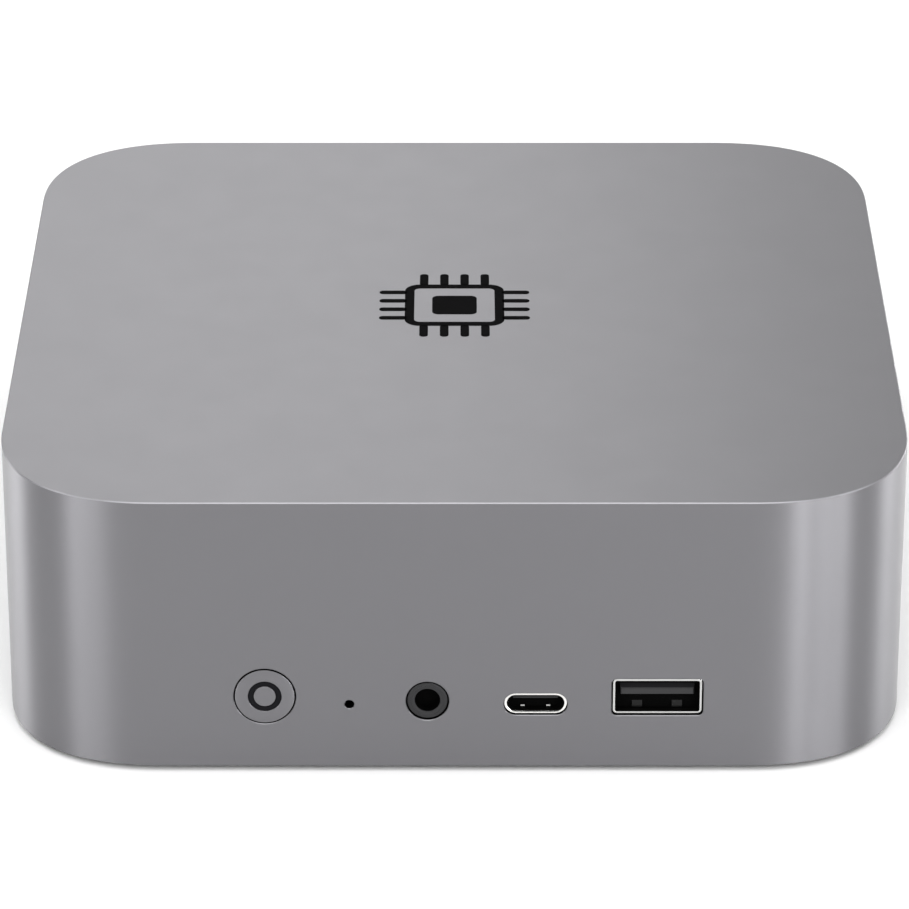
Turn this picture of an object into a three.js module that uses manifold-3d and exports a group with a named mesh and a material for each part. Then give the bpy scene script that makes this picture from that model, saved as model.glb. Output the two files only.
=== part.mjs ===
// A palm-sized desktop computer. A one-piece aluminium housing, closed from below by a screwed plastic
// cover, holds a main board with its connectors, memory, drive and radio underneath, and a blower with a
// vapour chamber and a fin stack on top. Millimetres, +Z up, front towards -Y, origin on the table under
// the middle of the housing.
import * as THREE from "three";
import { mergeVertices } from "three/addons/utils/BufferGeometryUtils.js";
import Module from "manifold-3d";

// ---------------------------------------------------------------- driving dimensions
const WIDTH = 135; // the housing is square in plan
const HEIGHT = 44.7; // table to roof
const FOOT_PROUD = 0.9; // feet below the housing's lower edge
const CORNER = 24.7; // reach of a corner's curve along each side
const CORNER_POWER = 2.35; // exponent of a corner's superellipse; 2 would be a circle
const CORNER_STEPS = 14;
const WALL = 2; // side walls
const ROOF = 2; // top skin
const EDGE = 0.2; // chamfer round the roof and round the lower edge
const GAP = 0.3; // between pieces that touch in the real object
const FINE_GAP = 0.08; // between pieces that are pressed together

const FRONT = -WIDTH / 2;
const ROOF_UNDER = HEIGHT - ROOF;
const CAVITY_FRONT = FRONT + WALL;

// Front openings: centre x, centre z.
const BUTTON = { x: -28.05, z: 12.68, hole: 4.6, cap: 4.42, travel: 0.5 };
const POWER_RING = { outer: 2.4, inner: 1.72, deep: 0.8 }; // let into the button's face
const COLLAR = { front: WALL + GAP, thick: 0.8, radius: 5.3, stem: 1.5, stemEnd: 6.4 }; // behind the wall
const PINHOLE = { x: -15.55, z: 11.33, hole: 0.7 };
const HEADSET = { x: -4, z: 11.9, hole: 3.2, nose: 2.98, bore: 1.87 };
const USB_C = { x: 12, z: 11.34 };
const USB_A = { x: 30, z: 12.52 };
const RECESS = 0.4; // connector mouths behind the face that they show through

// Connector shells, bent from sheet, and the openings that they show through.
const USB_C_SHELL = { wide: 9.26, high: 3.4, sheet: 0.43, long: 7.5, opening: [9.42, 3.6, 1.79] };
const USB_A_SHELL = { wide: 13.15, high: 5.75, sheet: 0.32, long: 13.6, opening: [13.55, 6.07, 0.75] };
const HDMI_SHELL = { wide: 15, high: 5.55, sheet: 0.4, long: 11.5, opening: [15.6, 6.2] };

// Rear panel and its row of connectors, as seen from behind, left to right.
const PANEL = { half: 48.5, bottom: 3.3, top: 41.3, radius: 4, face: 66.2, thick: 1.6 };
const PORT_MARGIN = 46; // the row's outer connectors end here
const MATED_Z = 12.5; // centre of the rear USB and HDMI mouths
const DC_Z = 10.1;
const LAN = { width: 16, height: 11.5, depth: 18, sheet: 0.3, z: 9.62 };
const GRILLE = { half: 42, bottom: 20.5, top: 38.6, pitch: 3.44, slot: 2 };

// Main board. The connectors hang below it.
const BOARD = { half: 60, front: -61.5, rear: 61.5, bottom: 15.7, thick: 1.6, notch: 45.5 };
const BOARD_TOP = BOARD.bottom + BOARD.thick;
const HANG = BOARD.bottom - GAP; // top of whatever is soldered under the board

// Bottom cover, feet and their screws.
const COVER = { bottom: 1.9, thick: 1.2 };
const COVER_TOP = COVER.bottom + COVER.thick;
const POST = 50.5; // feet, cover screws and their posts, from the middle in x and in y
const FOOT = { radius: 8, bore: 3.6, outerEdge: 0.6, innerEdge: 0.4 };
const COVER_SCREW = { head: 2.5, headHigh: 1.15, shank: 1.2, length: 8.6 };
const BOARD_SCREW = { head: 2.4, headHigh: 1.2, shank: 1, length: 6.6 };
const CARD_SCREW = { head: 2.5, headHigh: 0.9, shank: 1, length: 3.3 };
const SCREW_PLAY = 0.2;
const INTAKE = { half: 41, pitch: 5, slot: 2.4, power: 4 };

// Cooler.
const CHAMBER = { half: 40, front: -36, rear: 61, bottom: BOARD_TOP + 2.6, thick: 2.8 };
const CHAMBER_TOP = CHAMBER.bottom + CHAMBER.thick;
const FAN = {
  x: 2.6,
  y: 1,
  bottom: CHAMBER_TOP + GAP,
  top: 37.2,
  floor: 1.2,
  wall: 1.6,
  inlet: 24, // radius
  outlet: 43.7, // the walls end here, next to the fins
};
const ROTOR = { hub: 15, blade: 30.8, blades: 29, bottom: FAN.bottom + 1.9, height: 11 };
const SHAFT = 1.2;
const FINS = { half: 38, front: 44, depth: 17, top: 38, skin: 0.5, fin: 0.4, cells: 29 };

// Cards under the board: the plane of their circuit boards.
const CARD_Z = 12;
const MEMORY = { x: -24, width: 69.6, depth: 30, thick: 1.2, socket: 73.6, first: -46.2, second: -12 };
const DRIVE = { x: 31, width: 22, length: 80, front: -44, thick: 0.8 };
const RADIO = { left: -31, front: 23.5, length: 30, width: 22, thick: 0.8 };
const ANTENNA = { x: 58, width: 8, half: 20, thick: 0.5, lead: 0.6 };

// ---------------------------------------------------------------- materials
const material = (color, roughness, metalness) =>
  new THREE.MeshStandardMaterial({ color, roughness, metalness });
const aluminium = material(0x8e8f93, 0.4, 0.9);
const blackPlastic = material(0x1b1c1e, 0.6, 0);
const lightGuide = material(0x2b2c30, 0.35, 0);
const filterMesh = material(0x151516, 0.9, 0);
const rubber = material(0x161617, 0.85, 0);
const darkSteel = material(0x3a3b3e, 0.4, 0.9);
const brightSteel = material(0xc9c9c7, 0.25, 1);
const contactPlastic = material(0x232325, 0.5, 0);
const boardGreen = material(0x14181c, 0.45, 0);
const silicon = material(0x2c2d2f, 0.3, 0);
const copper = material(0xb5653a, 0.35, 1);
const bareAluminium = material(0xb6b8ba, 0.35, 0.9);
const cardGreen = material(0x12321f, 0.45, 0);
const steelCell = material(0xd2d2cf, 0.25, 1);
const leadJacket = material(0x0f0f10, 0.55, 0);

// ---------------------------------------------------------------- shapes and solids
const wasm = await Module();
wasm.setup();

function solid(geometry) {
  const bare = geometry.clone();
  bare.deleteAttribute("normal");
  bare.deleteAttribute("uv");
  const merged = mergeVertices(bare, 1e-4);
  return new wasm.Manifold(
    new wasm.Mesh({
      numProp: 3,
      vertProperties: merged.attributes.position.array,
      triVerts: new Uint32Array(merged.index.array),
    }),
  );
}

function geometryOf(made) {
  const mesh = made.getMesh();
  return new THREE.BufferGeometry()
    .setAttribute("position", new THREE.BufferAttribute(mesh.vertProperties, 3))
    .setIndex(new THREE.BufferAttribute(mesh.triVerts, 1));
}

const join = (first, ...others) => others.reduce((all, one) => all.add(one), first);
const cut = (first, ...others) => others.reduce((rest, one) => rest.subtract(one), first);

// A box from its low corner to its high corner.
function block(x0, x1, y0, y1, z0, z1) {
  const box = new THREE.BoxGeometry(x1 - x0, y1 - y0, z1 - z0);
  return solid(box.translate((x0 + x1) / 2, (y0 + y1) / 2, (z0 + z1) / 2));
}

// A shape in the XY plane, extruded from z0 to z1.
function slab(shape, z0, z1) {
  const options = { depth: z1 - z0, bevelEnabled: false, curveSegments: 4 };
  return solid(new THREE.ExtrudeGeometry(shape, options).translate(0, 0, z0));
}

// A shape drawn in the XZ plane, extruded from y0 to y1.
function prism(shape, y0, y1, x = 0, z = 0) {
  const options = { depth: y1 - y0, bevelEnabled: false, curveSegments: 4 };
  const geometry = new THREE.ExtrudeGeometry(shape, options).rotateX(Math.PI / 2);
  return solid(geometry.translate(x, y1, z));
}

// A cylinder along Z.
function rod(radius, z0, z1, x = 0, y = 0, sides = 16) {
  const geometry = new THREE.CylinderGeometry(radius, radius, z1 - z0, sides).rotateX(Math.PI / 2);
  return solid(geometry.translate(x, y, (z0 + z1) / 2));
}

// A cylinder along Y.
function pin(radius, y0, y1, x = 0, z = 0, sides = 24) {
  const geometry = new THREE.CylinderGeometry(radius, radius, y1 - y0, sides);
  return solid(geometry.translate(x, (y0 + y1) / 2, z));
}

// A profile of [radius, height] pairs turned about Z. It runs anticlockwise, from the axis or closed on
// itself.
function turned(profile, sides) {
  const points = profile.map(([radius, height]) => new THREE.Vector2(radius, height));
  return solid(new THREE.LatheGeometry(points, sides).rotateX(Math.PI / 2));
}

function roundedBox(width, height, radius) {
  const [w, h] = [width / 2, height / 2];
  const shape = new THREE.Shape();
  shape.absarc(w - radius, h - radius, radius, 0, Math.PI / 2);
  shape.absarc(radius - w, h - radius, radius, Math.PI / 2, Math.PI);
  shape.absarc(radius - w, radius - h, radius, Math.PI, 1.5 * Math.PI);
  shape.absarc(w - radius, radius - h, radius, 1.5 * Math.PI, 2 * Math.PI);
  return shape;
}

function polygon(points) {
  return new THREE.Shape(points.map(([x, y]) => new THREE.Vector2(x, y)));
}

// The housing's plan, moved in by inset: straight sides joined by superellipse corners.
function housingPlan(inset) {
  const reach = CORNER - inset;
  const centre = WIDTH / 2 - CORNER;
  const points = [];
  for (let quarter = 0; quarter < 4; quarter++) {
    for (let i = 0; i <= CORNER_STEPS; i++) {
      const angle = ((i / CORNER_STEPS) * Math.PI) / 2;
      const point = new THREE.Vector2(
        centre + reach * Math.max(0, Math.cos(angle)) ** (2 / CORNER_POWER),
        centre + reach * Math.sin(angle) ** (2 / CORNER_POWER),
      );
      points.push(point.rotateAround(new THREE.Vector2(), (quarter * Math.PI) / 2));
    }
  }
  return new THREE.Shape(points);
}

function mesh(name, made, surface, x = 0, y = 0, z = 0) {
  const piece = new THREE.Mesh(geometryOf(made), surface);
  piece.name = name;
  piece.position.set(x, y, z);
  return piece;
}

function group(...pieces) {
  return new THREE.Group().add(...pieces);
}

const CORNERS = [
  ["front_left", -1, -1],
  ["front_right", 1, -1],
  ["rear_left", -1, 1],
  ["rear_right", 1, 1],
];
// Board screws run up into these short posts.
const BOARD_POSTS = [
  ["front", -42, -56.5],
  ["rear", 55, 38],
];

// ---------------------------------------------------------------- housing
const usbAOpening = () => roundedBox(...USB_A_SHELL.opening);
const usbCOpening = () => roundedBox(...USB_C_SHELL.opening);

function topShell() {
  const options = {
    depth: HEIGHT - FOOT_PROUD - 2 * EDGE,
    bevelThickness: EDGE,
    bevelSize: EDGE,
    bevelOffset: -EDGE,
    bevelSegments: 1,
  };
  const outside = new THREE.ExtrudeGeometry(housingPlan(0), options).translate(0, 0, FOOT_PROUD + EDGE);
  const through = [FRONT - 1, CAVITY_FRONT + 1];
  let shell = cut(
    solid(outside),
    slab(housingPlan(WALL), FOOT_PROUD - 1, ROOF_UNDER),
    pin(BUTTON.hole, ...through, BUTTON.x, BUTTON.z),
    pin(PINHOLE.hole, ...through, PINHOLE.x, PINHOLE.z, 12),
    pin(HEADSET.hole, ...through, HEADSET.x, HEADSET.z),
    prism(usbCOpening(), ...through, USB_C.x, USB_C.z),
    prism(usbAOpening(), ...through, USB_A.x, USB_A.z),
    prism(
      roundedBox(2 * PANEL.half, PANEL.top - PANEL.bottom, PANEL.radius),
      WIDTH / 2 - 2 * WALL - 1,
      WIDTH / 2 + 1,
      0,
      (PANEL.top + PANEL.bottom) / 2,
    ),
  );
  for (const [, sx, sy] of CORNERS) {
    const at = [sx * POST, sy * POST];
    const bore = rod(COVER_SCREW.shank + SCREW_PLAY, COVER_TOP, COVER_TOP + 9, ...at, 12);
    shell = cut(join(shell, rod(3.6, COVER_TOP + GAP, ROOF_UNDER + 1, ...at, 12)), bore);
  }
  for (const [, ...at] of BOARD_POSTS) {
    const bore = rod(BOARD_SCREW.shank + SCREW_PLAY, BOARD_TOP, BOARD_TOP + 6, ...at, 12);
    shell = cut(join(shell, rod(3, BOARD_TOP + GAP, ROOF_UNDER + 1, ...at, 12)), bore);
  }
  return mesh("top_shell", shell, aluminium);
}

// Centre x and half width and half height of each opening in the rear panel, seen from behind.
const REAR_PORTS = rearRow([
  ["dc", 9],
  ["usb_c", USB_C_SHELL.wide],
  ["hdmi", HDMI_SHELL.wide],
  ["lan", LAN.width],
  ["usb_a_1", USB_A_SHELL.wide],
  ["usb_a_2", USB_A_SHELL.wide],
]);

function rearRow(widths) {
  const used = widths.reduce((sum, [, width]) => sum + width, 0);
  const space = (2 * PORT_MARGIN - used) / (widths.length - 1);
  const places = {};
  let edge = -PORT_MARGIN;
  for (const [name, width] of widths) {
    places[name] = edge + width / 2;
    edge += width + space;
  }
  return places;
}

// Drawn with its outer face at y = 0 and its body towards +Y, like the connectors in it.
function rearPanel() {
  const thick = [0, PANEL.thick];
  const centre = (PANEL.top + PANEL.bottom) / 2;
  const [wide, high] = [2 * PANEL.half, PANEL.top - PANEL.bottom];
  const outline = roundedBox(wide - 2 * GAP, high - 2 * GAP, PANEL.radius - GAP);
  const around = [-1, PANEL.thick + 1];
  const holes = [
    pin(3.7, ...around, REAR_PORTS.dc, DC_Z),
    prism(usbCOpening(), ...around, REAR_PORTS.usb_c, MATED_Z),
    prism(hdmiOutline(...HDMI_SHELL.opening), ...around, REAR_PORTS.hdmi, MATED_Z),
    prism(roundedBox(LAN.width + 0.6, LAN.height + 0.6, 0.5), ...around, REAR_PORTS.lan, LAN.z),
    prism(usbAOpening(), ...around, REAR_PORTS.usb_a_1, MATED_Z),
    prism(usbAOpening(), ...around, REAR_PORTS.usb_a_2, MATED_Z),
  ];
  for (let x = -GRILLE.half + GRILLE.slot / 2; x < GRILLE.half; x += GRILLE.pitch) {
    const half = GRILLE.slot / 2;
    holes.push(block(x - half, x + half, ...around, GRILLE.bottom, GRILLE.top));
  }
  return mesh("rear_panel", cut(prism(outline, ...thick, 0, centre), ...holes), blackPlastic);
}

// Intake slots run along X and end on a rounded square.
function bottomCover() {
  const clear = COVER_SCREW.shank + GAP;
  const plate = slab(housingPlan(WALL + GAP), COVER.bottom, COVER_TOP);
  const holes = CORNERS.map(([, sx, sy]) =>
    rod(clear, COVER.bottom - 1, COVER_TOP + 1, sx * POST, sy * POST, 12),
  );
  const rows = Math.floor(INTAKE.half / INTAKE.pitch);
  for (let row = -rows; row <= rows; row++) {
    const y = row * INTAKE.pitch;
    const reach = (INTAKE.half ** INTAKE.power - Math.abs(y) ** INTAKE.power) ** (1 / INTAKE.power);
    const slot = roundedBox(2 * reach, INTAKE.slot, INTAKE.slot / 2 - 0.01);
    holes.push(slab(slot, COVER.bottom - 1, COVER_TOP + 1).translate([0, y, 0]));
  }
  return mesh("bottom_cover", cut(plate, ...holes), blackPlastic);
}

function dustFilter() {
  return mesh("dust_filter", slab(roundedBox(92, 92, 8), COVER_TOP + GAP, COVER_TOP + GAP + 0.4), filterMesh);
}

// A rubber ring that stands on the table, with its screw's head up inside it.
function foot() {
  const top = COVER.bottom - FINE_GAP;
  const { radius, bore, outerEdge, innerEdge } = FOOT;
  const profile = [
    [bore, innerEdge],
    [bore + innerEdge, 0],
    [radius - outerEdge, 0],
    [radius, outerEdge],
    [radius, top],
    [bore, top],
    [bore, innerEdge],
  ];
  return turned(profile, 24);
}

// A pan head with a cross recess, its seat at z = 0, and its shank upwards.
function screw({ head, headHigh, shank, length }) {
  const [arm, half, deep] = [head * 0.6, 0.3, headHigh * 0.5];
  const made = join(rod(head, -headHigh, 0, 0, 0, 16), rod(shank, -0.1, length, 0, 0, 12));
  return cut(
    made,
    block(-arm, arm, -half, half, -headHigh - 1, deep - headHigh),
    block(-half, half, -arm, arm, -headHigh - 1, deep - headHigh),
  );
}

const housing = group(topShell(), bottomCover(), dustFilter());
for (const [place, sx, sy] of CORNERS) {
  const at = [sx * POST, sy * POST];
  housing.add(
    mesh("foot_" + place, foot(), rubber, ...at),
    mesh("cover_screw_" + place, screw(COVER_SCREW), darkSteel, ...at, COVER.bottom - FINE_GAP),
  );
}
for (const [place, ...at] of BOARD_POSTS) {
  housing.add(mesh("board_screw_" + place, screw(BOARD_SCREW), darkSteel, ...at, BOARD.bottom - FINE_GAP));
}

// ---------------------------------------------------------------- connectors
// Each one is drawn about its mouth: mouth at y = 0, body towards +Y, centre at x = 0 and z = 0.
function usbA(name, x, y, z) {
  const { wide, high, sheet, long } = USB_A_SHELL;
  const [innerWide, innerHigh] = [wide - 2 * sheet, high - 2 * sheet];
  const shell = cut(
    prism(roundedBox(wide, high, 0.6), 0, long),
    prism(roundedBox(innerWide, innerHigh, 0.3), -1, long + 1),
  );
  const [half, setBack, back] = [5.55, 0.95, 10];
  const low = 2.5 - innerHigh / 2;
  const tongue = join(
    block(-half, half, setBack, back + 0.5, low, low + 1.84),
    prism(roundedBox(innerWide - 2 * FINE_GAP, innerHigh - 2 * FINE_GAP, 0.25), back, long),
  );
  return group(
    mesh(name + "_shell", shell, brightSteel, x, y, z),
    mesh(name + "_tongue", tongue, contactPlastic, x, y, z),
  );
}

// Its plastic body is behind the shell and reaches up to the board.
function usbC(name, x, y, z) {
  const { wide, high, sheet, long } = USB_C_SHELL;
  const inside = (gap) => {
    const [width, height] = [wide - 2 * (sheet + gap), high - 2 * (sheet + gap)];
    return roundedBox(width, height, height / 2 - 0.02);
  };
  const shell = cut(
    prism(roundedBox(wide, high, high / 2 - 0.02), 0, long),
    prism(inside(0), -1, long + 1),
  );
  const [half, thin, setBack, back] = [3.35, 0.35, 0.9, 5];
  const tongue = join(
    block(-half, half, setBack, back + 0.5, -thin, thin),
    prism(inside(FINE_GAP), back, long + 1),
    block(-wide / 2, wide / 2, long + FINE_GAP, long + 3, -high / 2, HANG - z),
  );
  return group(
    mesh(name + "_shell", shell, brightSteel, x, y, z),
    mesh(name + "_tongue", tongue, contactPlastic, x, y, z),
  );
}

// The wide edge is on top and the lower corners are cut off.
function hdmiOutline(width, height) {
  const [w, h, side, slope] = [width / 2, height / 2, height * 0.42, 1.6];
  return polygon([
    [-w, h],
    [-w, h - side],
    [slope - w, -h],
    [w - slope, -h],
    [w, h - side],
    [w, h],
  ]);
}

function hdmi(x, y, z) {
  const { wide, high, sheet, long } = HDMI_SHELL;
  const inside = (gap) => hdmiOutline(wide - 2 * (sheet + gap), high - 2 * (sheet + gap));
  const shell = cut(prism(hdmiOutline(wide, high), 0, long), prism(inside(0), -1, long + 1));
  const [half, setBack, back] = [5.6, 0.9, 9];
  const tongue = join(block(-half, half, setBack, back + 0.5, -0.2, 1), prism(inside(0.15), back, long));
  return group(
    mesh("hdmi_shell", shell, brightSteel, x, y, z),
    mesh("hdmi_tongue", tongue, contactPlastic, x, y, z),
  );
}

// The latch notch is below the plug's space.
function lanJack(x, y, z) {
  const { width, height, depth, sheet } = LAN;
  const [w, h] = [width / 2 - sheet, height / 2 - sheet];
  const shell = cut(
    prism(roundedBox(width, height, 0.4), 0, depth),
    block(-w, w, -1, depth - 0.4, -h, h),
  );
  const [iw, ih] = [w - FINE_GAP, h - FINE_GAP];
  const plug = { half: 5.95, bottom: -2.6, top: 4.2, deep: 12.6 };
  const latch = { half: 3.1, bottom: -4.4 };
  const insert = cut(
    block(-iw, iw, 0.2, depth - 0.4 - FINE_GAP, -ih, ih),
    block(-plug.half, plug.half, -1, plug.deep, plug.bottom, plug.top),
    block(-latch.half, latch.half, -1, plug.deep, latch.bottom, plug.bottom + 0.1),
  );
  return group(
    mesh("lan_jack_shell", shell, brightSteel, x, y, z),
    mesh("lan_jack_insert", insert, contactPlastic, x, y, z),
  );
}

// A barrel socket with its centre pin.
function dcJack(x, y, z) {
  const [half, bore, deep, long] = [4.5, 3.15, 9.6, 13];
  const body = cut(block(-half, half, PANEL.thick, long, -half, HANG - z), pin(bore, -1, deep));
  const nose = cut(pin(3.5, 0, PANEL.thick + 0.2), pin(bore, -1, PANEL.thick + 1));
  const contact = pin(1, 0.9, deep + 0.4, 0, 0, 12);
  return mesh("dc_jack", join(body, nose, contact), blackPlastic, x, y, z);
}

// A round nose in the wall's hole, and a body behind it.
function headsetJack(x, y, z) {
  const [half, drop, long] = [3.3, 3.4, 14];
  const body = join(
    pin(HEADSET.nose, 0, 2.2),
    block(-half, half, CAVITY_FRONT - y + GAP, long, -drop, HANG - z),
  );
  return mesh("headset_jack", cut(body, pin(HEADSET.bore, -1, long - 1)), blackPlastic, x, y, z);
}

// ---------------------------------------------------------------- front controls
// The button is flush with the front, a collar behind the wall keeps it in, and its stem reaches the switch.
function powerButton() {
  const { outer, inner, deep } = POWER_RING;
  const groove = cut(
    pin(outer + FINE_GAP, -1, deep + FINE_GAP, 0, 0, 32),
    pin(inner - FINE_GAP, -2, deep + 1, 0, 0, 32),
  );
  const button = join(
    pin(BUTTON.cap, 0, COLLAR.front + 0.2),
    pin(COLLAR.radius, COLLAR.front, COLLAR.front + COLLAR.thick),
    pin(COLLAR.stem, COLLAR.front, COLLAR.stemEnd, 0, 0, 12),
  );
  return mesh("power_button", cut(button, groove), aluminium, BUTTON.x, FRONT, BUTTON.z);
}

function powerRing() {
  const { outer, inner, deep } = POWER_RING;
  const made = cut(pin(outer, 0, deep, 0, 0, 32), pin(inner, -1, deep + 1, 0, 0, 32));
  return mesh("power_light_ring", made, lightGuide, BUTTON.x, FRONT, BUTTON.z);
}

// A plastic cup behind the wall that guides the collar and the stem.
function buttonGuide() {
  const floor = COLLAR.front + COLLAR.thick + BUTTON.travel + GAP;
  const made = cut(
    pin(COLLAR.radius + 1.3, COLLAR.front, floor + 0.9),
    pin(COLLAR.radius + GAP, COLLAR.front - 1, floor),
    pin(COLLAR.stem + GAP, COLLAR.front, floor + 2, 0, 0, 12),
  );
  return mesh("button_guide", made, blackPlastic, BUTTON.x, FRONT, BUTTON.z);
}

// A side-push switch: a body under the board and a plunger that its button or a pin pushes back.
function sideSwitch(name, { x, z, y, half, drop, plunger, reach, travel }) {
  const deep = 3.4;
  const bore = plunger + 0.15;
  const body = cut(
    block(-half, half, 0, deep, -drop, HANG - z),
    pin(bore, -1, travel + 1.2, 0, 0, 16),
  );
  const stem = pin(plunger, -reach, 1, 0, 0, 16);
  return group(
    mesh(name, body, darkSteel, x, y, z),
    mesh(name + "_plunger", stem, blackPlastic, x, y, z),
  );
}

const powerSwitch = sideSwitch("power_switch", {
  x: BUTTON.x,
  y: FRONT + 8.5,
  z: BUTTON.z,
  half: 3,
  drop: 3,
  plunger: 1.6,
  reach: 1.8,
  travel: BUTTON.travel,
});
const resetSwitch = sideSwitch("reset_switch", {
  x: PINHOLE.x,
  y: FRONT + 6.2,
  z: PINHOLE.z,
  half: 2.2,
  drop: 1.8,
  plunger: 0.9,
  reach: 1.4,
  travel: 0.25,
});

const front = group(
  powerButton(),
  powerRing(),
  buttonGuide(),
  powerSwitch,
  resetSwitch,
  headsetJack(HEADSET.x, FRONT + 0.2, HEADSET.z),
  usbC("usb_c_front", USB_C.x, FRONT + RECESS, USB_C.z),
  usbA("usb_a_front", USB_A.x, FRONT + RECESS, USB_A.z),
);

// Turned to face the back, with y = 0 on the rear panel's outer face.
const rear = group(
  rearPanel(),
  dcJack(REAR_PORTS.dc, RECESS, DC_Z),
  usbC("usb_c_rear", REAR_PORTS.usb_c, RECESS, MATED_Z),
  hdmi(REAR_PORTS.hdmi, RECESS, MATED_Z),
  lanJack(REAR_PORTS.lan, RECESS, LAN.z),
  usbA("usb_a_rear_1", REAR_PORTS.usb_a_1, RECESS, MATED_Z),
  usbA("usb_a_rear_2", REAR_PORTS.usb_a_2, RECESS, MATED_Z),
);
rear.rotation.z = Math.PI;
rear.position.y = PANEL.face;

// ---------------------------------------------------------------- main board
// Coils of the power stages, in a row either side of the processor.
const COILS = { x: 51.5, first: -30, pitch: 10, count: 4, half: 3.3, top: BOARD_TOP + 3 };
const BOARD_PARTS = [
  { x0: 44.5, x1: 52.5, y0: -43.5, y1: -38.5, high: 2.2 }, // fan header
  { x0: -36, x1: -24, y0: -57, y1: -47, high: 1.4 }, // network controller
  { x0: 22, x1: 34, y0: -57, y1: -47, high: 1.4 }, // embedded controller
];

function motherboard() {
  const { half, front: near, rear: far, bottom, notch } = BOARD;
  const outline = polygon([
    [-notch, near],
    [notch, near],
    [notch, -notch],
    [half, -notch],
    [half, notch],
    [notch, notch],
    [notch, far],
    [-notch, far],
    [-notch, notch],
    [-half, notch],
    [-half, -notch],
    [-notch, -notch],
  ]);
  let board = slab(outline, bottom, BOARD_TOP);
  const seat = BOARD_TOP - 0.2;
  for (const x of [-COILS.x, COILS.x]) {
    for (let i = 0; i < COILS.count; i++) {
      const y = COILS.first + i * COILS.pitch;
      board = join(board, block(x - COILS.half, x + COILS.half, y, y + 2 * COILS.half, seat, COILS.top));
    }
  }
  for (const { x0, x1, y0, y1, high } of BOARD_PARTS) {
    board = join(board, block(x0, x1, y0, y1, seat, BOARD_TOP + high));
  }
  const standoff = [BOARD.bottom + 0.2, DRIVE.x, DRIVE.front + DRIVE.length]; // for the drive's screw
  board = join(board, rod(2.6, CARD_Z + DRIVE.thick + GAP, ...standoff));
  board = cut(board, rod(CARD_SCREW.shank + SCREW_PLAY, CARD_Z, ...standoff));
  const clear = BOARD_SCREW.shank + GAP;
  const screwHoles = BOARD_POSTS.map(([, ...at]) => rod(clear, bottom - 1, BOARD_TOP + 1, ...at, 12));
  return mesh("motherboard", cut(board, ...screwHoles), boardGreen);
}

function processor() {
  const base = BOARD_TOP + GAP;
  const top = CHAMBER.bottom - GAP;
  const made = join(block(-12.5, 12.5, -20, 20, base, base + 1.3), block(-6, 6, -9, 9, base + 1, top));
  return mesh("cpu_package", made, silicon);
}

function coinCell() {
  const [x, y] = [0, -49.5];
  const seat = BOARD_TOP + GAP;
  const holder = cut(
    block(x - 12, x + 12, y - 11, y + 11, seat, seat + 3.4),
    rod(10.4, seat + 0.7, seat + 5, x, y, 32),
  );
  return group(
    mesh("coin_cell_holder", holder, contactPlastic),
    mesh("coin_cell", rod(10, seat + 1, seat + 4.2, x, y, 32), steelCell),
  );
}

// ---------------------------------------------------------------- cooler
function vaporChamber() {
  const { half, front: near, rear: far, bottom } = CHAMBER;
  const plan = roundedBox(2 * half, far - near, 4);
  return mesh("vapor_chamber", slab(plan, bottom, CHAMBER_TOP), copper, 0, (near + far) / 2);
}

function finStack() {
  const { half, front: near, depth, top, skin, fin, cells } = FINS;
  const [far, bottom] = [near + depth, CHAMBER_TOP + GAP];
  let stack = cut(
    block(-half, half, near, far, bottom, top),
    block(fin - half, half - fin, near - 1, far + 1, bottom + skin, top - skin),
  );
  const pitch = (2 * half - fin) / cells;
  for (let i = 1; i < cells; i++) {
    const x = -half + i * pitch;
    stack = join(stack, block(x, x + fin, near, far, bottom + skin / 2, top - skin / 2));
  }
  return mesh("fin_stack", stack, bareAluminium);
}

// The blower's plan about its rotor: tight on the right, opening round the front to a straight left side.
function volute(outset, outletY) {
  const [tight, open, steps] = [33.2, 38.4, 20];
  const points = [[tight + outset, outletY]];
  for (let i = 0; i <= steps; i++) {
    const turn = i / steps;
    const radius = tight + (open - tight) * turn + outset;
    const angle = -turn * Math.PI;
    points.push([radius * Math.cos(angle), radius * Math.sin(angle)]);
  }
  points.push([-open - outset, outletY]);
  return polygon(points.reverse());
}

function fan() {
  const { x, y, bottom, top, floor, wall, inlet, outlet } = FAN;
  const rim = outlet - y;
  const body = cut(
    slab(volute(wall, rim), bottom, top),
    slab(volute(0, rim + 5), bottom + floor, top + 1),
  );
  const eye = rod(inlet, top, top + 3, 0, 0, 32);
  const cover = cut(slab(volute(wall, rim), top + FINE_GAP, top + 0.8), eye);
  return group(
    mesh("fan_housing", body, blackPlastic, x, y),
    mesh("fan_cover", cover, bareAluminium, x, y),
    mesh("fan_rotor", rotor(), blackPlastic, x, y),
    mesh("fan_stator", stator(), copper, x, y),
  );
}

// A cup for the hub, with its shaft inside, a thin disc and swept blades.
function rotor() {
  const { hub, blade, blades, bottom, height } = ROTOR;
  const [skin, disc] = [1.2, 0.8];
  const top = bottom + height;
  const cup = turned(
    [
      [0, bottom - 0.2],
      [SHAFT, bottom - 0.2],
      [SHAFT, top - skin],
      [hub - skin, top - skin],
      [hub - skin, bottom],
      [hub, bottom],
      [hub, top],
      [0, top],
    ],
    24,
  );
  const plate = cut(
    rod(blade - 1, bottom, bottom + disc, 0, 0, blades),
    rod(hub - 0.3, bottom - 1, bottom + 2, 0, 0, 24),
  );
  const [thick, root, sweep] = [0.7, 19, 0.55];
  const [length, tall] = [blade - root, height - 1.4];
  let wheel = join(cup, plate);
  for (let i = 0; i < blades; i++) {
    const turn = (i / blades) * 2 * Math.PI;
    const box = new THREE.BoxGeometry(length, thick, tall);
    box.translate(length / 2, 0, bottom + disc / 2 + tall / 2);
    box.rotateZ(sweep).translate(root, 0, 0).rotateZ(turn);
    wheel = join(wheel, solid(box));
  }
  return wheel;
}

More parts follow.
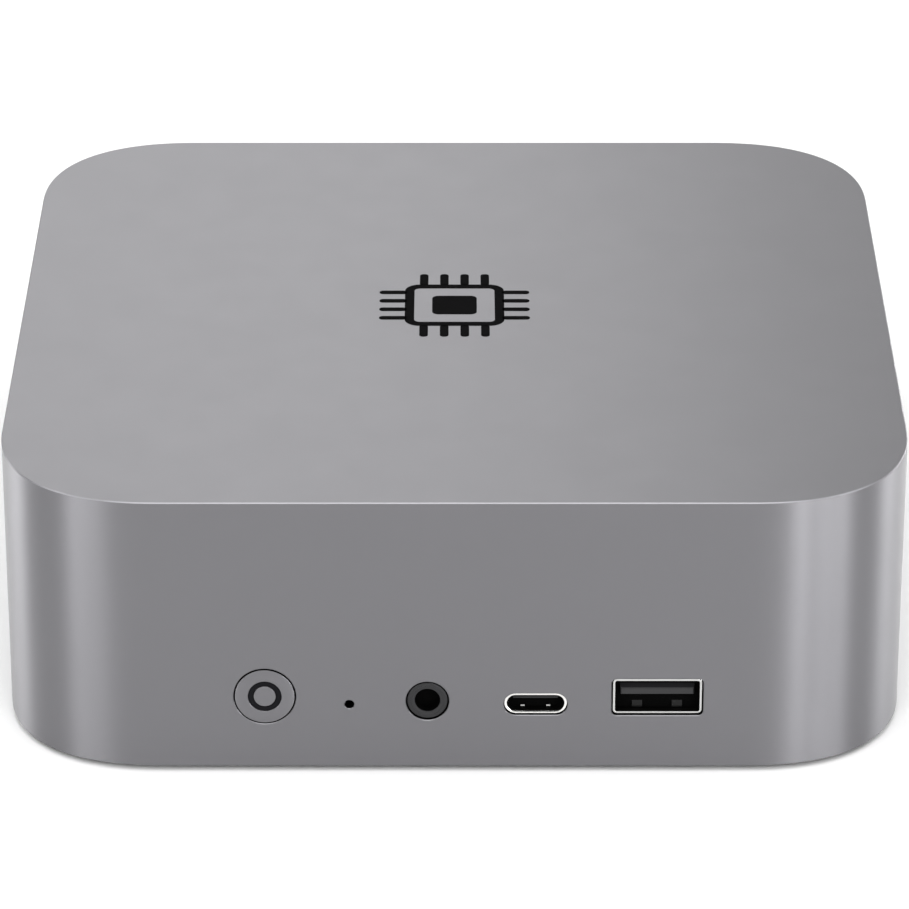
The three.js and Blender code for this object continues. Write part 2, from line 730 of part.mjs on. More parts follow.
// Nine poles round the bearing tube.
function stator() {
  const [bottom, poles, reach, core] = [FAN.bottom + FAN.floor + GAP, 9, 12.4, 6];
  const poleBottom = ROTOR.bottom + 1.4;
  let made = join(
    rod(3.2, bottom, poleBottom + 6, 0, 0, 18),
    rod(core, poleBottom, poleBottom + 5, 0, 0, 18),
  );
  for (let i = 0; i < poles; i++) {
    const arm = new THREE.BoxGeometry(reach, 3, 4).translate(reach / 2, 0, poleBottom + 2.5);
    made = join(made, solid(arm.rotateZ((i / poles) * 2 * Math.PI)));
  }
  return cut(made, rod(SHAFT + GAP, bottom - 1, poleBottom + 8, 0, 0, 12));
}

// A round lead along a smooth curve through the given points.
function lead(radius, points, steps) {
  const path = new THREE.CatmullRomCurve3(points.map((p) => new THREE.Vector3(...p)));
  const section = new THREE.Shape().absarc(0, 0, radius, 0, 2 * Math.PI);
  const options = { steps, extrudePath: path, curveSegments: 4 };
  return solid(new THREE.ExtrudeGeometry(section, options));
}

const fanLead = mesh(
  "fan_lead",
  lead(
    0.9,
    [
      [39.4, -18, 26],
      [42.5, -24, 25.8],
      [46.5, -31, 23.4],
      [48.3, -36, 21.8],
      [48.5, -40.5, 20.9],
    ],
    14,
  ),
  leadJacket,
);

// ---------------------------------------------------------------- cards under the board
function memory(number, socketFront) {
  const { x, width, depth, thick, socket } = MEMORY;
  const slotTop = CARD_Z + thick;
  const [bar, arm, armLong] = [6, 1.6, 27];
  const cardFront = socketFront + 2.2;
  const card = [-width / 2, width / 2, cardFront, cardFront + depth];
  const chip = { count: 4, long: 11, wide: 9, thick: 1, first: 4.5, pitch: 16.4, from: 12 };
  let module = block(...card, CARD_Z, slotTop);
  for (let i = 0; i < chip.count; i++) {
    const left = -width / 2 + chip.first + i * chip.pitch;
    const low = cardFront + chip.from;
    const seat = [left, left + chip.long, low, low + chip.wide];
    module = join(
      module,
      block(...seat, CARD_Z - chip.thick, CARD_Z + 0.1),
      block(...seat, slotTop - 0.1, slotTop + chip.thick),
    );
  }
  const [outer, inner] = [socket / 2, socket / 2 - arm];
  const [armLow, armHigh] = [CARD_Z - 1, HANG - 0.4];
  const cage = cut(
    join(
      block(-outer, outer, socketFront, socketFront + bar, CARD_Z - 1.6, HANG),
      block(-outer, -inner, socketFront, socketFront + armLong, armLow, armHigh),
      block(inner, outer, socketFront, socketFront + armLong, armLow, armHigh),
    ),
    block(
      -width / 2 - FINE_GAP,
      width / 2 + FINE_GAP,
      cardFront - FINE_GAP,
      socketFront + bar + 1,
      CARD_Z - FINE_GAP,
      slotTop + FINE_GAP,
    ),
  );
  return group(
    mesh("memory_socket_" + number, cage, contactPlastic, x),
    mesh("memory_module_" + number, module, cardGreen, x),
  );
}

// A slot that takes a card's edge, drawn with the card entering from +Y.
function edgeSocket(width, slotTop) {
  return cut(
    block(-width / 2, width / 2, -6, 2, CARD_Z - 0.9, HANG),
    block(-width / 2 + 0.6, width / 2 - 0.6, -FINE_GAP, 3, CARD_Z - FINE_GAP, slotTop + FINE_GAP),
  );
}

function drive() {
  const { x, width, length, front: near, thick } = DRIVE;
  const far = near + length;
  const slotTop = CARD_Z + thick;
  const w = width / 2;
  const edge = w - 0.8;
  let module = join(
    block(-edge, edge, near, near + 3, CARD_Z, slotTop),
    block(-w, w, near + 2.5, far, CARD_Z, slotTop),
  );
  for (const [y, long, half] of [[10, 11, 5.5], [28, 17, 7], [52, 17, 7]]) {
    module = join(module, block(-half, half, near + y, near + y + long, CARD_Z - 1.2, CARD_Z + 0.1));
  }
  module = cut(module, rod(1.75, CARD_Z - 1, slotTop + 1, 0, far, 12));
  return group(
    mesh("ssd_socket", edgeSocket(width, slotTop), contactPlastic, x, near),
    mesh("ssd_module", module, cardGreen, x),
    mesh("ssd_heatsink", driveHeatsink(), bareAluminium, x),
    mesh("ssd_screw", screw(CARD_SCREW), darkSteel, x, far, CARD_Z - FINE_GAP),
  );
}

// A base plate under the drive with fins that point down into the intake air.
function driveHeatsink() {
  const [half, top, base, fin, pitch] = [10.8, CARD_Z - 1.2 - GAP, 1.6, 0.9, 2.7];
  const bottom = 5.4;
  const points = [[half, top], [-half, top]];
  for (let x = -half; x < half; x += pitch) {
    points.push([x, bottom], [x + fin, bottom]);
    if (x + pitch < half) points.push([x + fin, top - base], [x + pitch, top - base]);
  }
  points.push([half, top - base]);
  const last = points[points.length - 2];
  points.splice(points.length - 1, 0, [last[0], top - base]);
  return prism(polygon(points), DRIVE.front + 8, DRIVE.front + 73);
}

function radio() {
  const { left, front: near, length, width, thick } = RADIO;
  const slotTop = CARD_Z + thick;
  const right = left + length;
  const far = near + width;
  let card = join(
    block(left, right - 2.5, near, far, CARD_Z, slotTop),
    block(right - 3, right, near + 0.8, far - 0.8, CARD_Z, slotTop),
    block(left + 8, right - 6, near + 2, far - 2, CARD_Z - 1.4, CARD_Z + 0.1), // shield can
  );
  for (const y of [near + 4, far - 4]) {
    card = join(card, rod(1.3, CARD_Z - 1.1, CARD_Z + 0.1, left + 2.5, y, 12));
  }
  const socket = edgeSocket(width, slotTop).rotate([0, 0, 90]).translate([right, (near + far) / 2, 0]);
  return group(mesh("wifi_card", card, cardGreen), mesh("wifi_socket", socket, contactPlastic));
}

// A flat antenna on the plastic cover, with its lead from the radio's two round contacts.
function antenna(name, side, points) {
  const { x, width, half, thick } = ANTENNA;
  const low = COVER_TOP + GAP;
  const centre = side * x;
  const strip = block(centre - width / 2, centre + width / 2, -half, half, low, low + thick);
  return mesh(name, join(strip, lead(ANTENNA.lead, points, 26)), leadJacket);
}

const contactX = RADIO.left + 2.5;
const contactZ = CARD_Z - 1.1 - GAP - ANTENNA.lead;
const leadEnd = COVER_TOP + GAP + ANTENNA.thick + ANTENNA.lead * 0.5;
const antennas = group(
  antenna("antenna_left", -1, [
    [contactX, RADIO.front + 4, contactZ],
    [contactX - 4, RADIO.front + 3.5, contactZ - 0.3],
    [-40, 24, 7],
    [-50, 21, 5],
    [-57, 16, leadEnd],
    [-58, 8, leadEnd],
  ]),
  antenna("antenna_right", 1, [
    [contactX, RADIO.front + 18, contactZ],
    [contactX - 4, RADIO.front + 19.5, contactZ - 0.6],
    [-29, 45.2, 7.2],
    [-16, 44.6, 6],
    [14, 44.4, 5.6],
    [42, 43.6, 5.4],
    [53, 38, 5.2],
    [57.5, 26, 4.8],
    [58, 16, leadEnd],
    [58, 8, leadEnd],
  ]),
);

const computer = group(
  housing,
  front,
  rear,
  motherboard(),
  processor(),
  coinCell(),
  vaporChamber(),
  finStack(),
  fan(),
  fanLead,
  memory(1, MEMORY.first),
  memory(2, MEMORY.second),
  drive(),
  radio(),
  antennas,
);

export default computer;
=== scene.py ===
"""Looks of a palm-sized desktop computer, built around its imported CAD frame.

Shapes are drawn in millimetres in a frame of their own: u and v across the shape, w along its depth.
place() turns that frame into the row frame, in metres. An outline is a function: given how far it is
moved in, it returns its points.
"""

import math

import bmesh
import bpy
from mathutils import Matrix, Vector


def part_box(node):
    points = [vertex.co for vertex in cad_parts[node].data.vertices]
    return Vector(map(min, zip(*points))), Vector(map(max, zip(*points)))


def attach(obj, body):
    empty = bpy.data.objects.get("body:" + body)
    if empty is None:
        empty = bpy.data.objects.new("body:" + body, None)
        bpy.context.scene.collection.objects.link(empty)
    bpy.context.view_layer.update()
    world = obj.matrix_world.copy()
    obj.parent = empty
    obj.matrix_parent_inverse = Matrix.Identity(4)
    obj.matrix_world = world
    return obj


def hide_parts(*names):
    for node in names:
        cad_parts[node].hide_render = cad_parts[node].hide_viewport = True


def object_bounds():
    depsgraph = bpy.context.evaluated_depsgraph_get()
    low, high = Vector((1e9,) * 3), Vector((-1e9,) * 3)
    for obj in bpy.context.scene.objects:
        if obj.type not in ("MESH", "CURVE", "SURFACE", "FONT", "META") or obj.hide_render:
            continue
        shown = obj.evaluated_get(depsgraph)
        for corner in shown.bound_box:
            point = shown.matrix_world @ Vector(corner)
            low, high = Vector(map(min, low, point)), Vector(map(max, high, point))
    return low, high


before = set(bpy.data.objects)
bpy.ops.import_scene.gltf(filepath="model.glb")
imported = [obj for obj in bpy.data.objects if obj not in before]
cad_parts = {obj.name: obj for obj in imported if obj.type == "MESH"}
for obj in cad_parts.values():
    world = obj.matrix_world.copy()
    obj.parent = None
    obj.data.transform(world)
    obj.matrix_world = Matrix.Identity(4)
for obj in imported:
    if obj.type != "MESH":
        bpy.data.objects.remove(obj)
cad_low, cad_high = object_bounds()

# ---------------------------------------------------------------- driving sizes, in millimetres
MM = 0.001
CORNER = 24.7  # reach of a housing corner's curve along each side
CORNER_POWER = 2.35  # exponent of that corner's superellipse
CORNER_STEPS = 40
WALL = 2.0
ROOF = 2.0
EDGE = 0.15  # chamfer round the roof and round the lower edge
MOUTH = 0.1  # broken edge round each opening
GAP = 0.3
PINHOLE = 0.7  # radius
PANEL_CORNER = 4.0  # of its opening; the panel's own corners are GAP smaller
BUTTON = {"hole": 4.6, "cap": 4.42, "collar": 5.3, "stem": 1.5}
BUTTON_ENDS = {"cap": 2.3, "collar": 3.1, "stem": 6.4}  # how far behind its face each ends
RING = {"outer": 2.4, "inner": 1.72, "deep": 0.8, "play": 0.08}
# A jack's drop is the height of its axis above the underside of its body.
HEADSET = {"hole": 3.2, "nose": 2.98, "bore": 1.87, "nose_end": 2.4, "drop": 3.4}
POWER_INLET = {"hole": 3.7, "nose": 3.5, "bore": 3.15, "nose_end": 1.8, "deep": 9.6, "drop": 4.5, "pin": 1.0}
# An opening is (width, height, corner). A tongue starts at set_back, and its root at back.
USB_A = {"opening": (13.55, 6.07, 0.75), "sheet": 0.32, "corner": 0.6, "set_back": 0.95, "back": 10.0}
USB_C = {"opening": (9.42, 3.6, 1.79), "sheet": 0.43, "set_back": 1.5, "back": 5.0}
HDMI = {"width": 15.0, "height": 5.55, "slope": 1.6, "sheet": 0.4, "set_back": 0.9, "back": 9.0}
LAN = {"opening": (16.6, 12.1, 0.5), "sheet": 0.3, "floor": 0.4, "wires": 8, "pitch": 1.02}
GRILLE = {"half": 42.0, "bottom": 20.5, "top": 38.6, "pitch": 3.44, "slot": 2.0}
INTAKE = {"half": 41.0, "pitch": 5.0, "slot": 2.4, "power": 4}
FOOT = {"radius": 8.0, "bore": 3.6}
SCREW = {"head": 2.5, "head_high": 1.15, "shank": 1.2, "thread": 0.4}
CORNER_POST = {"radius": 3.6, "bore": 1.4, "deep": 9}
BOARD_POST = {"radius": 3.0, "bore": 1.2, "deep": 6}
HDMI_UPRIGHT = 0.42  # share of its height that its sides stand upright
BOARD_SCREW_HEAD = 1.2
BOARD_THICK = 1.6

ROOT = "computer"
CORNERS = ("front_left", "front_right", "rear_left", "rear_right")
ROUND = 96  # sides of a large circle
ROUNDING = 0.29  # how far in the middle of a quarter circle is, for a radius of 1
SHARP = math.radians(32)  # an edge that turns by more than this is shaded as an edge

CAMERA_LENS = 205.6  # on a 36 mm sensor
CAMERA_ELEVATION = math.radians(26.19)
CAMERA_DISTANCE = 0.82475
CAMERA_TARGET = Vector((0.0, 0.0, 0.01934))


# ---------------------------------------------------------------- outlines
def rounded(width, height, radius, steps=8):
    """A rounded rectangle."""

    def outline(inset=0.0):
        r = max(radius - inset, 0.02)
        reach_u, reach_v = width / 2 - inset - r, height / 2 - inset - r
        points = []
        for corner, (side_u, side_v) in enumerate(((1, 1), (-1, 1), (-1, -1), (1, -1))):
            for i in range(steps + 1):
                angle = math.pi / 2 * (corner + i / steps)
                across, along = r * math.cos(angle), r * math.sin(angle)
                points.append((side_u * reach_u + across, side_v * reach_v + along))
        return points

    return outline


def disc(radius, sides=ROUND):
    def outline(inset=0.0):
        turns = [2 * math.pi * i / sides for i in range(sides)]
        return [((radius - inset) * math.cos(t), (radius - inset) * math.sin(t)) for t in turns]

    return outline


def housing_plan(width, margin=0.0):
    """The housing's plan: straight sides joined by superellipse corners."""

    def outline(inset=0.0):
        centre = width / 2 - CORNER
        reach = CORNER - margin - inset
        points = []
        for quarter in range(4):
            for i in range(CORNER_STEPS + 1):
                angle = math.pi / 2 * i / CORNER_STEPS
                u = centre + reach * max(0.0, math.cos(angle)) ** (2 / CORNER_POWER)
                v = centre + reach * max(0.0, math.sin(angle)) ** (2 / CORNER_POWER)
                for _ in range(quarter):
                    u, v = -v, u
                points.append((u, v))
        return points

    return outline


def hdmi_outline(margin=0.0):
    """Its wide edge is on top and its lower corners are cut off."""

    def outline(inset=0.0):
        grow = margin + inset
        w, h = HDMI["width"] / 2 - grow, HDMI["height"] / 2 - grow
        side = h - HDMI_UPRIGHT * HDMI["height"]
        foot = w - HDMI["slope"]
        return [(-w, h), (-w, side), (-foot, -h), (foot, -h), (w, side), (w, h)]

    return outline


def shifted(outline, u, v):
    return lambda inset=0.0: [(a + u, b + v) for a, b in outline(inset)]


# ---------------------------------------------------------------- solids: (vertices, faces)
def ring(points, depth):
    return [(u, v, depth) for u, v in points]


def loft(rings, closed=False):
    """Joins rings that have equally many points. A closed loft's last ring meets its first.

    An open loft has caps.
    """
    count = len(rings[0])
    vertices = [point for one in rings for point in one]
    faces = []
    for r in range(len(rings) if closed else len(rings) - 1):
        a, b = r * count, (r + 1) % len(rings) * count
        for i in range(count):
            j = (i + 1) % count
            faces.append((a + i, a + j, b + j, b + i))
    if not closed:
        faces.append(tuple(range(count)))
        faces.append(tuple(range(len(vertices) - count, len(vertices))))
    return vertices, faces


def prism(outline, near, far, near_edge=0.0, far_edge=0.0):
    """A solid from near to far, with a chamfer at each end. A negative chamfer flares outwards."""
    rings = []
    if near_edge:
        rings.append(ring(outline(near_edge), near))
    rings.append(ring(outline(), near + abs(near_edge)))
    rings.append(ring(outline(), far - abs(far_edge)))
    if far_edge:
        rings.append(ring(outline(far_edge), far))
    return loft(rings)


def block(u0, u1, v0, v1, w0, w1, edge=0.05):
    """A box with broken edges."""
    face = rounded(u1 - u0, v1 - v0, edge, 2)
    return prism(shifted(face, (u0 + u1) / 2, (v0 + v1) / 2), w0, w1, edge * 0.9, edge * 0.9)


def through(outline, depth, edge=MOUTH):
    """A cutter for an opening whose edge is broken at w = 0."""
    rings = [ring(outline(-edge), -1.0), ring(outline(-edge), 0.0), ring(outline(), edge)]
    return loft(rings + [ring(outline(), depth)])


def tube(outer, inner, near, far, edge, lead_in=None):
    """A pipe between two outlines. Its near rim is rounded over by edge, and by lead_in on the inside."""
    lead_in = lead_in or edge
    bends = ((1.0, 0.0), (ROUNDING, ROUNDING), (0.0, 1.0))
    rings = [ring(outer(), far)]
    rings += [ring(outer(edge * across), near + edge * along) for across, along in reversed(bends)]
    rings += [ring(inner(-lead_in * across), near + lead_in * along) for across, along in bends]
    rings.append(ring(inner(), far))
    return loft(rings, closed=True)


def turned(profile, sides=ROUND):
    """A profile of (radius, depth) turned about w, from the axis back to the axis."""
    return loft([ring(disc(max(radius, 0.001), sides)(), depth) for radius, depth in profile])


def turned_ring(profile, sides=ROUND):
    """A closed profile of (radius, depth) turned about w, with a hole through it."""
    return loft([ring(disc(radius, sides)(), depth) for radius, depth in profile], closed=True)


def ribbon(path, thick, u0, u1):
    """A bent strip. The path is (v, w) along its underside."""
    section = list(path) + [(v + thick, w) for v, w in reversed(path)]
    return loft([[(u, v, w) for v, w in section] for u in (u0, u1)])


def joined(*solids):
    vertices, faces = [], []
    for points, polygons in solids:
        first = len(vertices)
        vertices += points
        faces += [tuple(first + i for i in polygon) for polygon in polygons]
    return vertices, faces


def moved(solid, u=0.0, v=0.0, w=0.0):
    vertices, faces = solid
    return [(a + u, b + v, c + w) for a, b, c in vertices], faces


def rewritten(solid, own, other):
    """A solid drawn in one place's frame, rewritten in another's."""
    vertices, faces = solid
    change = other.inverted() @ own
    return [tuple(change @ Vector(point)) for point in vertices], faces


# ---------------------------------------------------------------- places
def place(point, facing):
    """Turns a shape's own frame into the row frame, at a point given in metres."""
    columns = {
        "front": ((1, 0, 0), (0, 0, 1), (0, 1, 0)),
        "rear": ((-1, 0, 0), (0, 0, 1), (0, -1, 0)),
        "up": ((1, 0, 0), (0, 1, 0), (0, 0, 1)),
    }[facing]
    turn = Matrix(columns).transposed().to_4x4()
    return Matrix.Translation(point) @ turn @ Matrix.Scale(MM, 4)


def centre_of(*nodes):
    """The middle of the box round some nodes."""
    boxes = [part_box(node) for node in nodes]
    low = Vector(min(box[0][axis] for box in boxes) for axis in range(3))
    high = Vector(max(box[1][axis] for box in boxes) for axis in range(3))
    return (low + high) / 2


def size_of(node):
    """A node's size in millimetres."""
    low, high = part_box(node)
    return (high - low) / MM


def mouth_of(node, drop=None):
    """A place in the middle of a connector's mouth, which is at the nearer of the front and the rear.

    Where the mouth isn't half way up the node, drop is how far above its underside it is.
    """
    low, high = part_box(node)
    x = (low.x + high.x) / 2
    z = (low.z + high.z) / 2 if drop is None else low.z + drop * MM
    if low.y < 0:
        return place(Vector((x, low.y, z)), "front")
    return place(Vector((x, high.y, z)), "rear")


def seat_of(node):
    """A place in the middle of a node's underside."""
    centre = centre_of(node)
    return place(Vector((centre.x, centre.y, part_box(node)[0].z)), "up")


# ---------------------------------------------------------------- pieces
def make_mesh(name, solid, where):
    vertices, faces = solid
    mesh = bpy.data.meshes.new(name)
    mesh.from_pydata([where @ Vector(point) for point in vertices], [], faces)
    shape = bmesh.new()
    shape.from_mesh(mesh)
    bmesh.ops.remove_doubles(shape, verts=shape.verts, dist=1e-7)
    bmesh.ops.recalc_face_normals(shape, faces=shape.faces)
    shape.to_mesh(mesh)
    shape.free()
    piece = bpy.data.objects.new(name, mesh)
    bpy.context.scene.collection.objects.link(piece)
    return piece


def carve(piece, cutters, where):
    """Subtracts each cutter from the piece."""
    for cutter in cutters:
        tool = make_mesh("cutter", cutter, where)
        change = piece.modifiers.new("cut", "BOOLEAN")
        change.object = tool
        change.operation = "DIFFERENCE"
        change.solver = "EXACT"
        graph = bpy.context.evaluated_depsgraph_get()
        result = bpy.data.meshes.new_from_object(piece.evaluated_get(graph))
        piece.modifiers.clear()
        piece.data = result
        bpy.data.objects.remove(tool)


def shade_deeper_faces(piece, where, material, depth):
    """Painted shade: the faces whose middles are deeper than depth take a second, darker material."""
    piece.data.materials.append(material)
    unplace = where.inverted()
    for face in piece.data.polygons:
        if (unplace @ face.center).z > depth:
            face.material_index = 1


def even_normals(piece):
    weigh = piece.modifiers.new("weigh", "WEIGHTED_NORMAL")
    weigh.keep_sharp = True
    weigh.weight = 80


def make(name, solid, where, material, replaces=(), cutters=(), body=ROOT):
    """A finished piece: cut, shaded, dressed and riding on its body."""
    piece = make_mesh(name, solid, where)
    if cutters:
        carve(piece, [joined(*cutters)], where)
    piece.data.materials.clear()
    piece.data.materials.append(material)
    piece.data.shade_smooth()
    piece.data.set_sharp_from_angle(angle=SHARP)
    even_normals(piece)
    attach(piece, body)
    if replaces:
        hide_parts(*replaces)
    return piece


# ---------------------------------------------------------------- materials
class Surface:
    """A principled material whose tone and roughness drift over the surface, with a fine grain in relief.

    grain is the size of the relief in millimetres, and bump its height.
    """

    def __init__(
        self,
        name,
        color,
        roughness,
        metallic=0.0,
        specular=0.5,
        grain=0.25,
        bump=0.01,
        spread=0.06,
        mottle=0.05,
    ):
        self.material = bpy.data.materials.new(name)
        self.material.use_nodes = True
        self.tree = self.material.node_tree
        self.shader = self.tree.nodes["Principled BSDF"]
        self.shader.inputs["Metallic"].default_value = metallic
        self.shader.inputs["Specular IOR Level"].default_value = specular
        self.place = self.node("ShaderNodeTexCoord").outputs["Object"]
        fine = self.noise(grain, 4)
        patches = self.noise(12 * grain + 4, 3)
        self.tone = self.mix(patches, self.shade(color, 1 - mottle), self.shade(color, 1 + mottle))
        self.link(self.tone, self.shader.inputs["Base Color"])
        drift = self.remap(self.noise(7, 3), 0.3, 0.7, roughness - spread, roughness)
        local = self.math("MULTIPLY_ADD", fine, spread, drift)
        self.link(local, self.shader.inputs["Roughness"])
        self.relief = self.bump(fine, bump)
        self.link(self.relief, self.shader.inputs["Normal"])

    @staticmethod
    def shade(color, factor):
        return (*(min(1.0, c * factor) for c in color), 1)

    def node(self, kind):
        return self.tree.nodes.new(kind)

    def link(self, output, socket):
        self.tree.links.new(output, socket)

    def noise(self, size, detail):
        node = self.node("ShaderNodeTexNoise")
        node.inputs["Scale"].default_value = 1 / (size * MM)
        node.inputs["Detail"].default_value = detail
        self.link(self.place, node.inputs["Vector"])
        return node.outputs["Fac"]

    def waves(self, axis, pitch):
        """Bands across an axis, pitch millimetres apart."""
        node = self.node("ShaderNodeTexWave")
        node.bands_direction = axis
        node.inputs["Scale"].default_value = math.pi / (10 * pitch * MM)
        self.link(self.place, node.inputs["Vector"])
        return node.outputs["Fac"]

    def math(self, operation, first, second=None, third=None):
        node = self.node("ShaderNodeMath")
        node.operation = operation
        for socket, value in zip(node.inputs, (first, second, third)):
            if isinstance(value, (int, float)):
                socket.default_value = value
            elif value is not None:
                self.link(value, socket)
        return node.outputs["Value"]

    def remap(self, value, from_low, from_high, to_low, to_high):
        node = self.node("ShaderNodeMapRange")
        ends = {"From Min": from_low, "From Max": from_high, "To Min": to_low, "To Max": to_high}
        for name, end in ends.items():
            node.inputs[name].default_value = end
        self.link(value, node.inputs["Value"])
        return node.outputs["Result"]

    def mix(self, factor, first, second):
        node = self.node("ShaderNodeMix")
        node.data_type = "RGBA"
        for socket, value in (("Factor", factor), ("A", first), ("B", second)):
            if isinstance(value, tuple):
                node.inputs[socket].default_value = value
            else:
                self.link(value, node.inputs[socket])
        return node.outputs["Result"]

    def bump(self, height, distance, below=None):
        node = self.node("ShaderNodeBump")
        node.inputs["Distance"].default_value = distance * MM
        self.link(height, node.inputs["Height"])
        if below is not None:
            self.link(below, node.inputs["Normal"])
        return node.outputs["Normal"]

    def axis(self, name):
        split = self.node("ShaderNodeSeparateXYZ")
        self.link(self.place, split.inputs["Vector"])
        return split.outputs[name]

    def woven(self, color, pitch):
        """Two sets of threads over dark holes."""
        threads = self.math("MAXIMUM", self.waves("X", pitch), self.waves("Y", pitch))
        woven = self.mix(threads, self.shade(color, 0.1), self.shade(color, 1.7))
        self.link(woven, self.shader.inputs["Base Color"])
        self.link(self.bump(threads, 0.15, self.relief), self.shader.inputs["Normal"])
        return self

    def brushed(self, axis, pitch, depth):
        """Fine lines left across an axis by rolling or turning."""
        lines = self.math("MULTIPLY", self.waves(axis, pitch), self.noise(1.5, 2))
        self.link(self.bump(lines, depth, self.relief), self.shader.inputs["Normal"])
        return self

    def traced(self, copper):
        """Copper runs under the solder resist, in patches that run one way or the other."""
        cells = self.node("ShaderNodeTexVoronoi")
        cells.distance = "CHEBYCHEV"
        cells.inputs["Scale"].default_value = 1 / (9 * MM)
        self.link(self.place, cells.inputs["Vector"])
        patch = self.math("GREATER_THAN", cells.outputs["Color"], 0.5)
        along = self.math("MULTIPLY", self.waves("X", 0.9), patch)
        across = self.math("MULTIPLY", self.waves("Y", 0.9), self.math("SUBTRACT", 1.0, patch))
        lines = self.remap(self.math("ADD", along, across), 0.6, 0.75, 0.0, 1.0)
        self.tone = self.mix(lines, self.tone, (*copper, 1))
        self.link(self.tone, self.shader.inputs["Base Color"])
        self.relief = self.bump(lines, 0.03, self.relief)
        self.link(self.relief, self.shader.inputs["Normal"])
        return self

    def populated(self, low, high, color):
        """Below low and above high, in millimetres up, the node is components and not board."""
        middle, half = (low + high) / 2 * MM, (high - low) / 2 * MM
        away = self.math("ABSOLUTE", self.math("SUBTRACT", self.axis("Z"), middle))
        part = self.math("GREATER_THAN", away, half)
        self.link(self.mix(part, self.tone, (*color, 1)), self.shader.inputs["Base Color"])
        return self

    def lapped(self, amount):
        """Walls are finished along their length, so their highlights spread up and down more than across."""
        tangent = self.node("ShaderNodeTangent")
        tangent.direction_type = "RADIAL"
        tangent.axis = "Z"
        self.link(tangent.outputs["Tangent"], self.shader.inputs["Tangent"])
        split = self.node("ShaderNodeSeparateXYZ")
        self.link(self.node("ShaderNodeNewGeometry").outputs["True Normal"], split.inputs["Vector"])
        upright = self.math("LESS_THAN", self.math("ABSOLUTE", split.outputs["Z"]), 0.5)
        self.link(self.math("MULTIPLY", upright, amount), self.shader.inputs["Anisotropic"])
        self.shader.inputs["Anisotropic Rotation"].default_value = 0.25
        return self

    def coated(self, weight):
        self.shader.inputs["Coat Weight"].default_value = weight
        self.shader.inputs["Coat Roughness"].default_value = 0.15
        return self


def surface(name, color, roughness, **detail):
    return Surface(name, color, roughness, **detail).material


GREY = (0.180, 0.178, 0.1875)
SKIN = {"metallic": 1.0, "grain": 0.12, "bump": 0.006}
SHEET = {"metallic": 1.0, "grain": 0.3, "bump": 0.003}
STEEL = {"metallic": 1.0, "grain": 0.3, "spread": 0.1}
BLACK = {"specular": 0.02, "mottle": 0.2}
WINDOW = {"grain": 0.3, "bump": 0.004}
WEAVE = (0.03, 0.03, 0.031)

ANODISED = Surface("anodised_aluminium", GREY, 0.34, **SKIN, spread=0.014, mottle=0.01).lapped(0.75).material
# Painted highlight: a brighter copy of the housing's grey, for the thin bright lines along the chamfers
# round the roof and foot.
PAINTED_HIGHLIGHT_EDGE = surface("painted_highlight_edge", Surface.shade(GREY, 1.45)[:3], 0.36, **SKIN, mottle=0.03)
# Painted shade: near black and hardly glossy, put where shade falls, deep in openings and inside the
# housing.
PAINTED_SHADE = surface("painted_shade_black", (0.001, 0.001, 0.001), 0.8, **BLACK, grain=0.3)
PRINT = surface("roof_print", (0.0022, 0.0022, 0.0024), 0.7, **BLACK, grain=0.2, bump=0.004)
# Painted shade: a darker copy of the connector insert's plastic, for the faces of a tongue that lie deeper
# in its mouth.
PAINTED_SHADE_INSERT = surface("painted_shade_insert", (0.008, 0.008, 0.009), 0.6, specular=0.06, grain=0.2, bump=0.004, mottle=0.2)
SMOKED = surface(
    "smoked_guide", (0.005, 0.005, 0.006), 0.45, specular=0.04, grain=0.2, bump=0.003, mottle=0.2
)
MOULDED = surface(
    "moulded_black", (0.018, 0.018, 0.019), 0.52, grain=0.4, bump=0.03, spread=0.1, mottle=0.15
)
COLLAR = surface(
    "moulded_collar", (0.016, 0.016, 0.017), 0.48, specular=0.2, grain=0.2, bump=0.012, mottle=0.1
)
INSERT = surface("connector_insert", (0.016, 0.016, 0.017), 0.45, specular=0.3, grain=0.2, mottle=0.12)
NICKEL = surface("nickel_sheet", (0.80, 0.79, 0.77), 0.22, **SHEET, mottle=0.04)
SATIN_NICKEL = surface("satin_nickel", (0.56, 0.56, 0.55), 0.3, **SHEET, mottle=0.04)
# Painted shade: a darker copy of the nickel, for the USB-C spring tabs deep in their mouth, so that their
# glints stay small.
SHADED_SPRING_NICKEL = surface("painted_shade_spring_nickel", (0.20, 0.20, 0.195), 0.34, **SHEET, mottle=0.04)
# Painted shade: a darker copy of the nickel, for the inside of a connector's shell, where shade falls.
SHADED_NICKEL = surface("painted_shade_nickel", (0.035, 0.035, 0.034), 0.4, **SHEET)
# Painted shade: a near-black copy of spring metal, for the USB-A spring tabs that sit in the shade of their
# shell.
PAINTED_SHADE_SPRING = surface("painted_shade_spring", (0.014, 0.014, 0.014), 0.45, metallic=1.0, grain=0.3, bump=0.004)
GOLD = surface("gold_contacts", (0.83, 0.60, 0.28), 0.24, **SHEET, mottle=0.06)
BLACK_STEEL = surface("black_oxide_steel", (0.07, 0.07, 0.073), 0.38, **STEEL, mottle=0.15)
RUBBER = surface("foot_rubber", (0.018, 0.018, 0.019), 0.8, grain=0.5, bump=0.04, spread=0.08, mottle=0.2)
AMBER = surface("amber_window", (0.32, 0.12, 0.012), 0.3, **WINDOW)
GREEN = surface("green_window", (0.03, 0.2, 0.035), 0.3, **WINDOW)
FILTER = Surface("filter_weave", WEAVE, 0.8, grain=0.3).woven(WEAVE, 0.9).material
SILICON = surface("silicon_die", (0.10, 0.105, 0.115), 0.2, metallic=0.6, grain=0.3, bump=0.002, mottle=0.1)
COPPER = surface("bare_copper", (0.62, 0.27, 0.14), 0.36, metallic=1.0, grain=0.5, spread=0.12, mottle=0.14)
ALUMINIUM = Surface("rolled_aluminium", (0.62, 0.62, 0.63), 0.32, 1.0, grain=0.5)
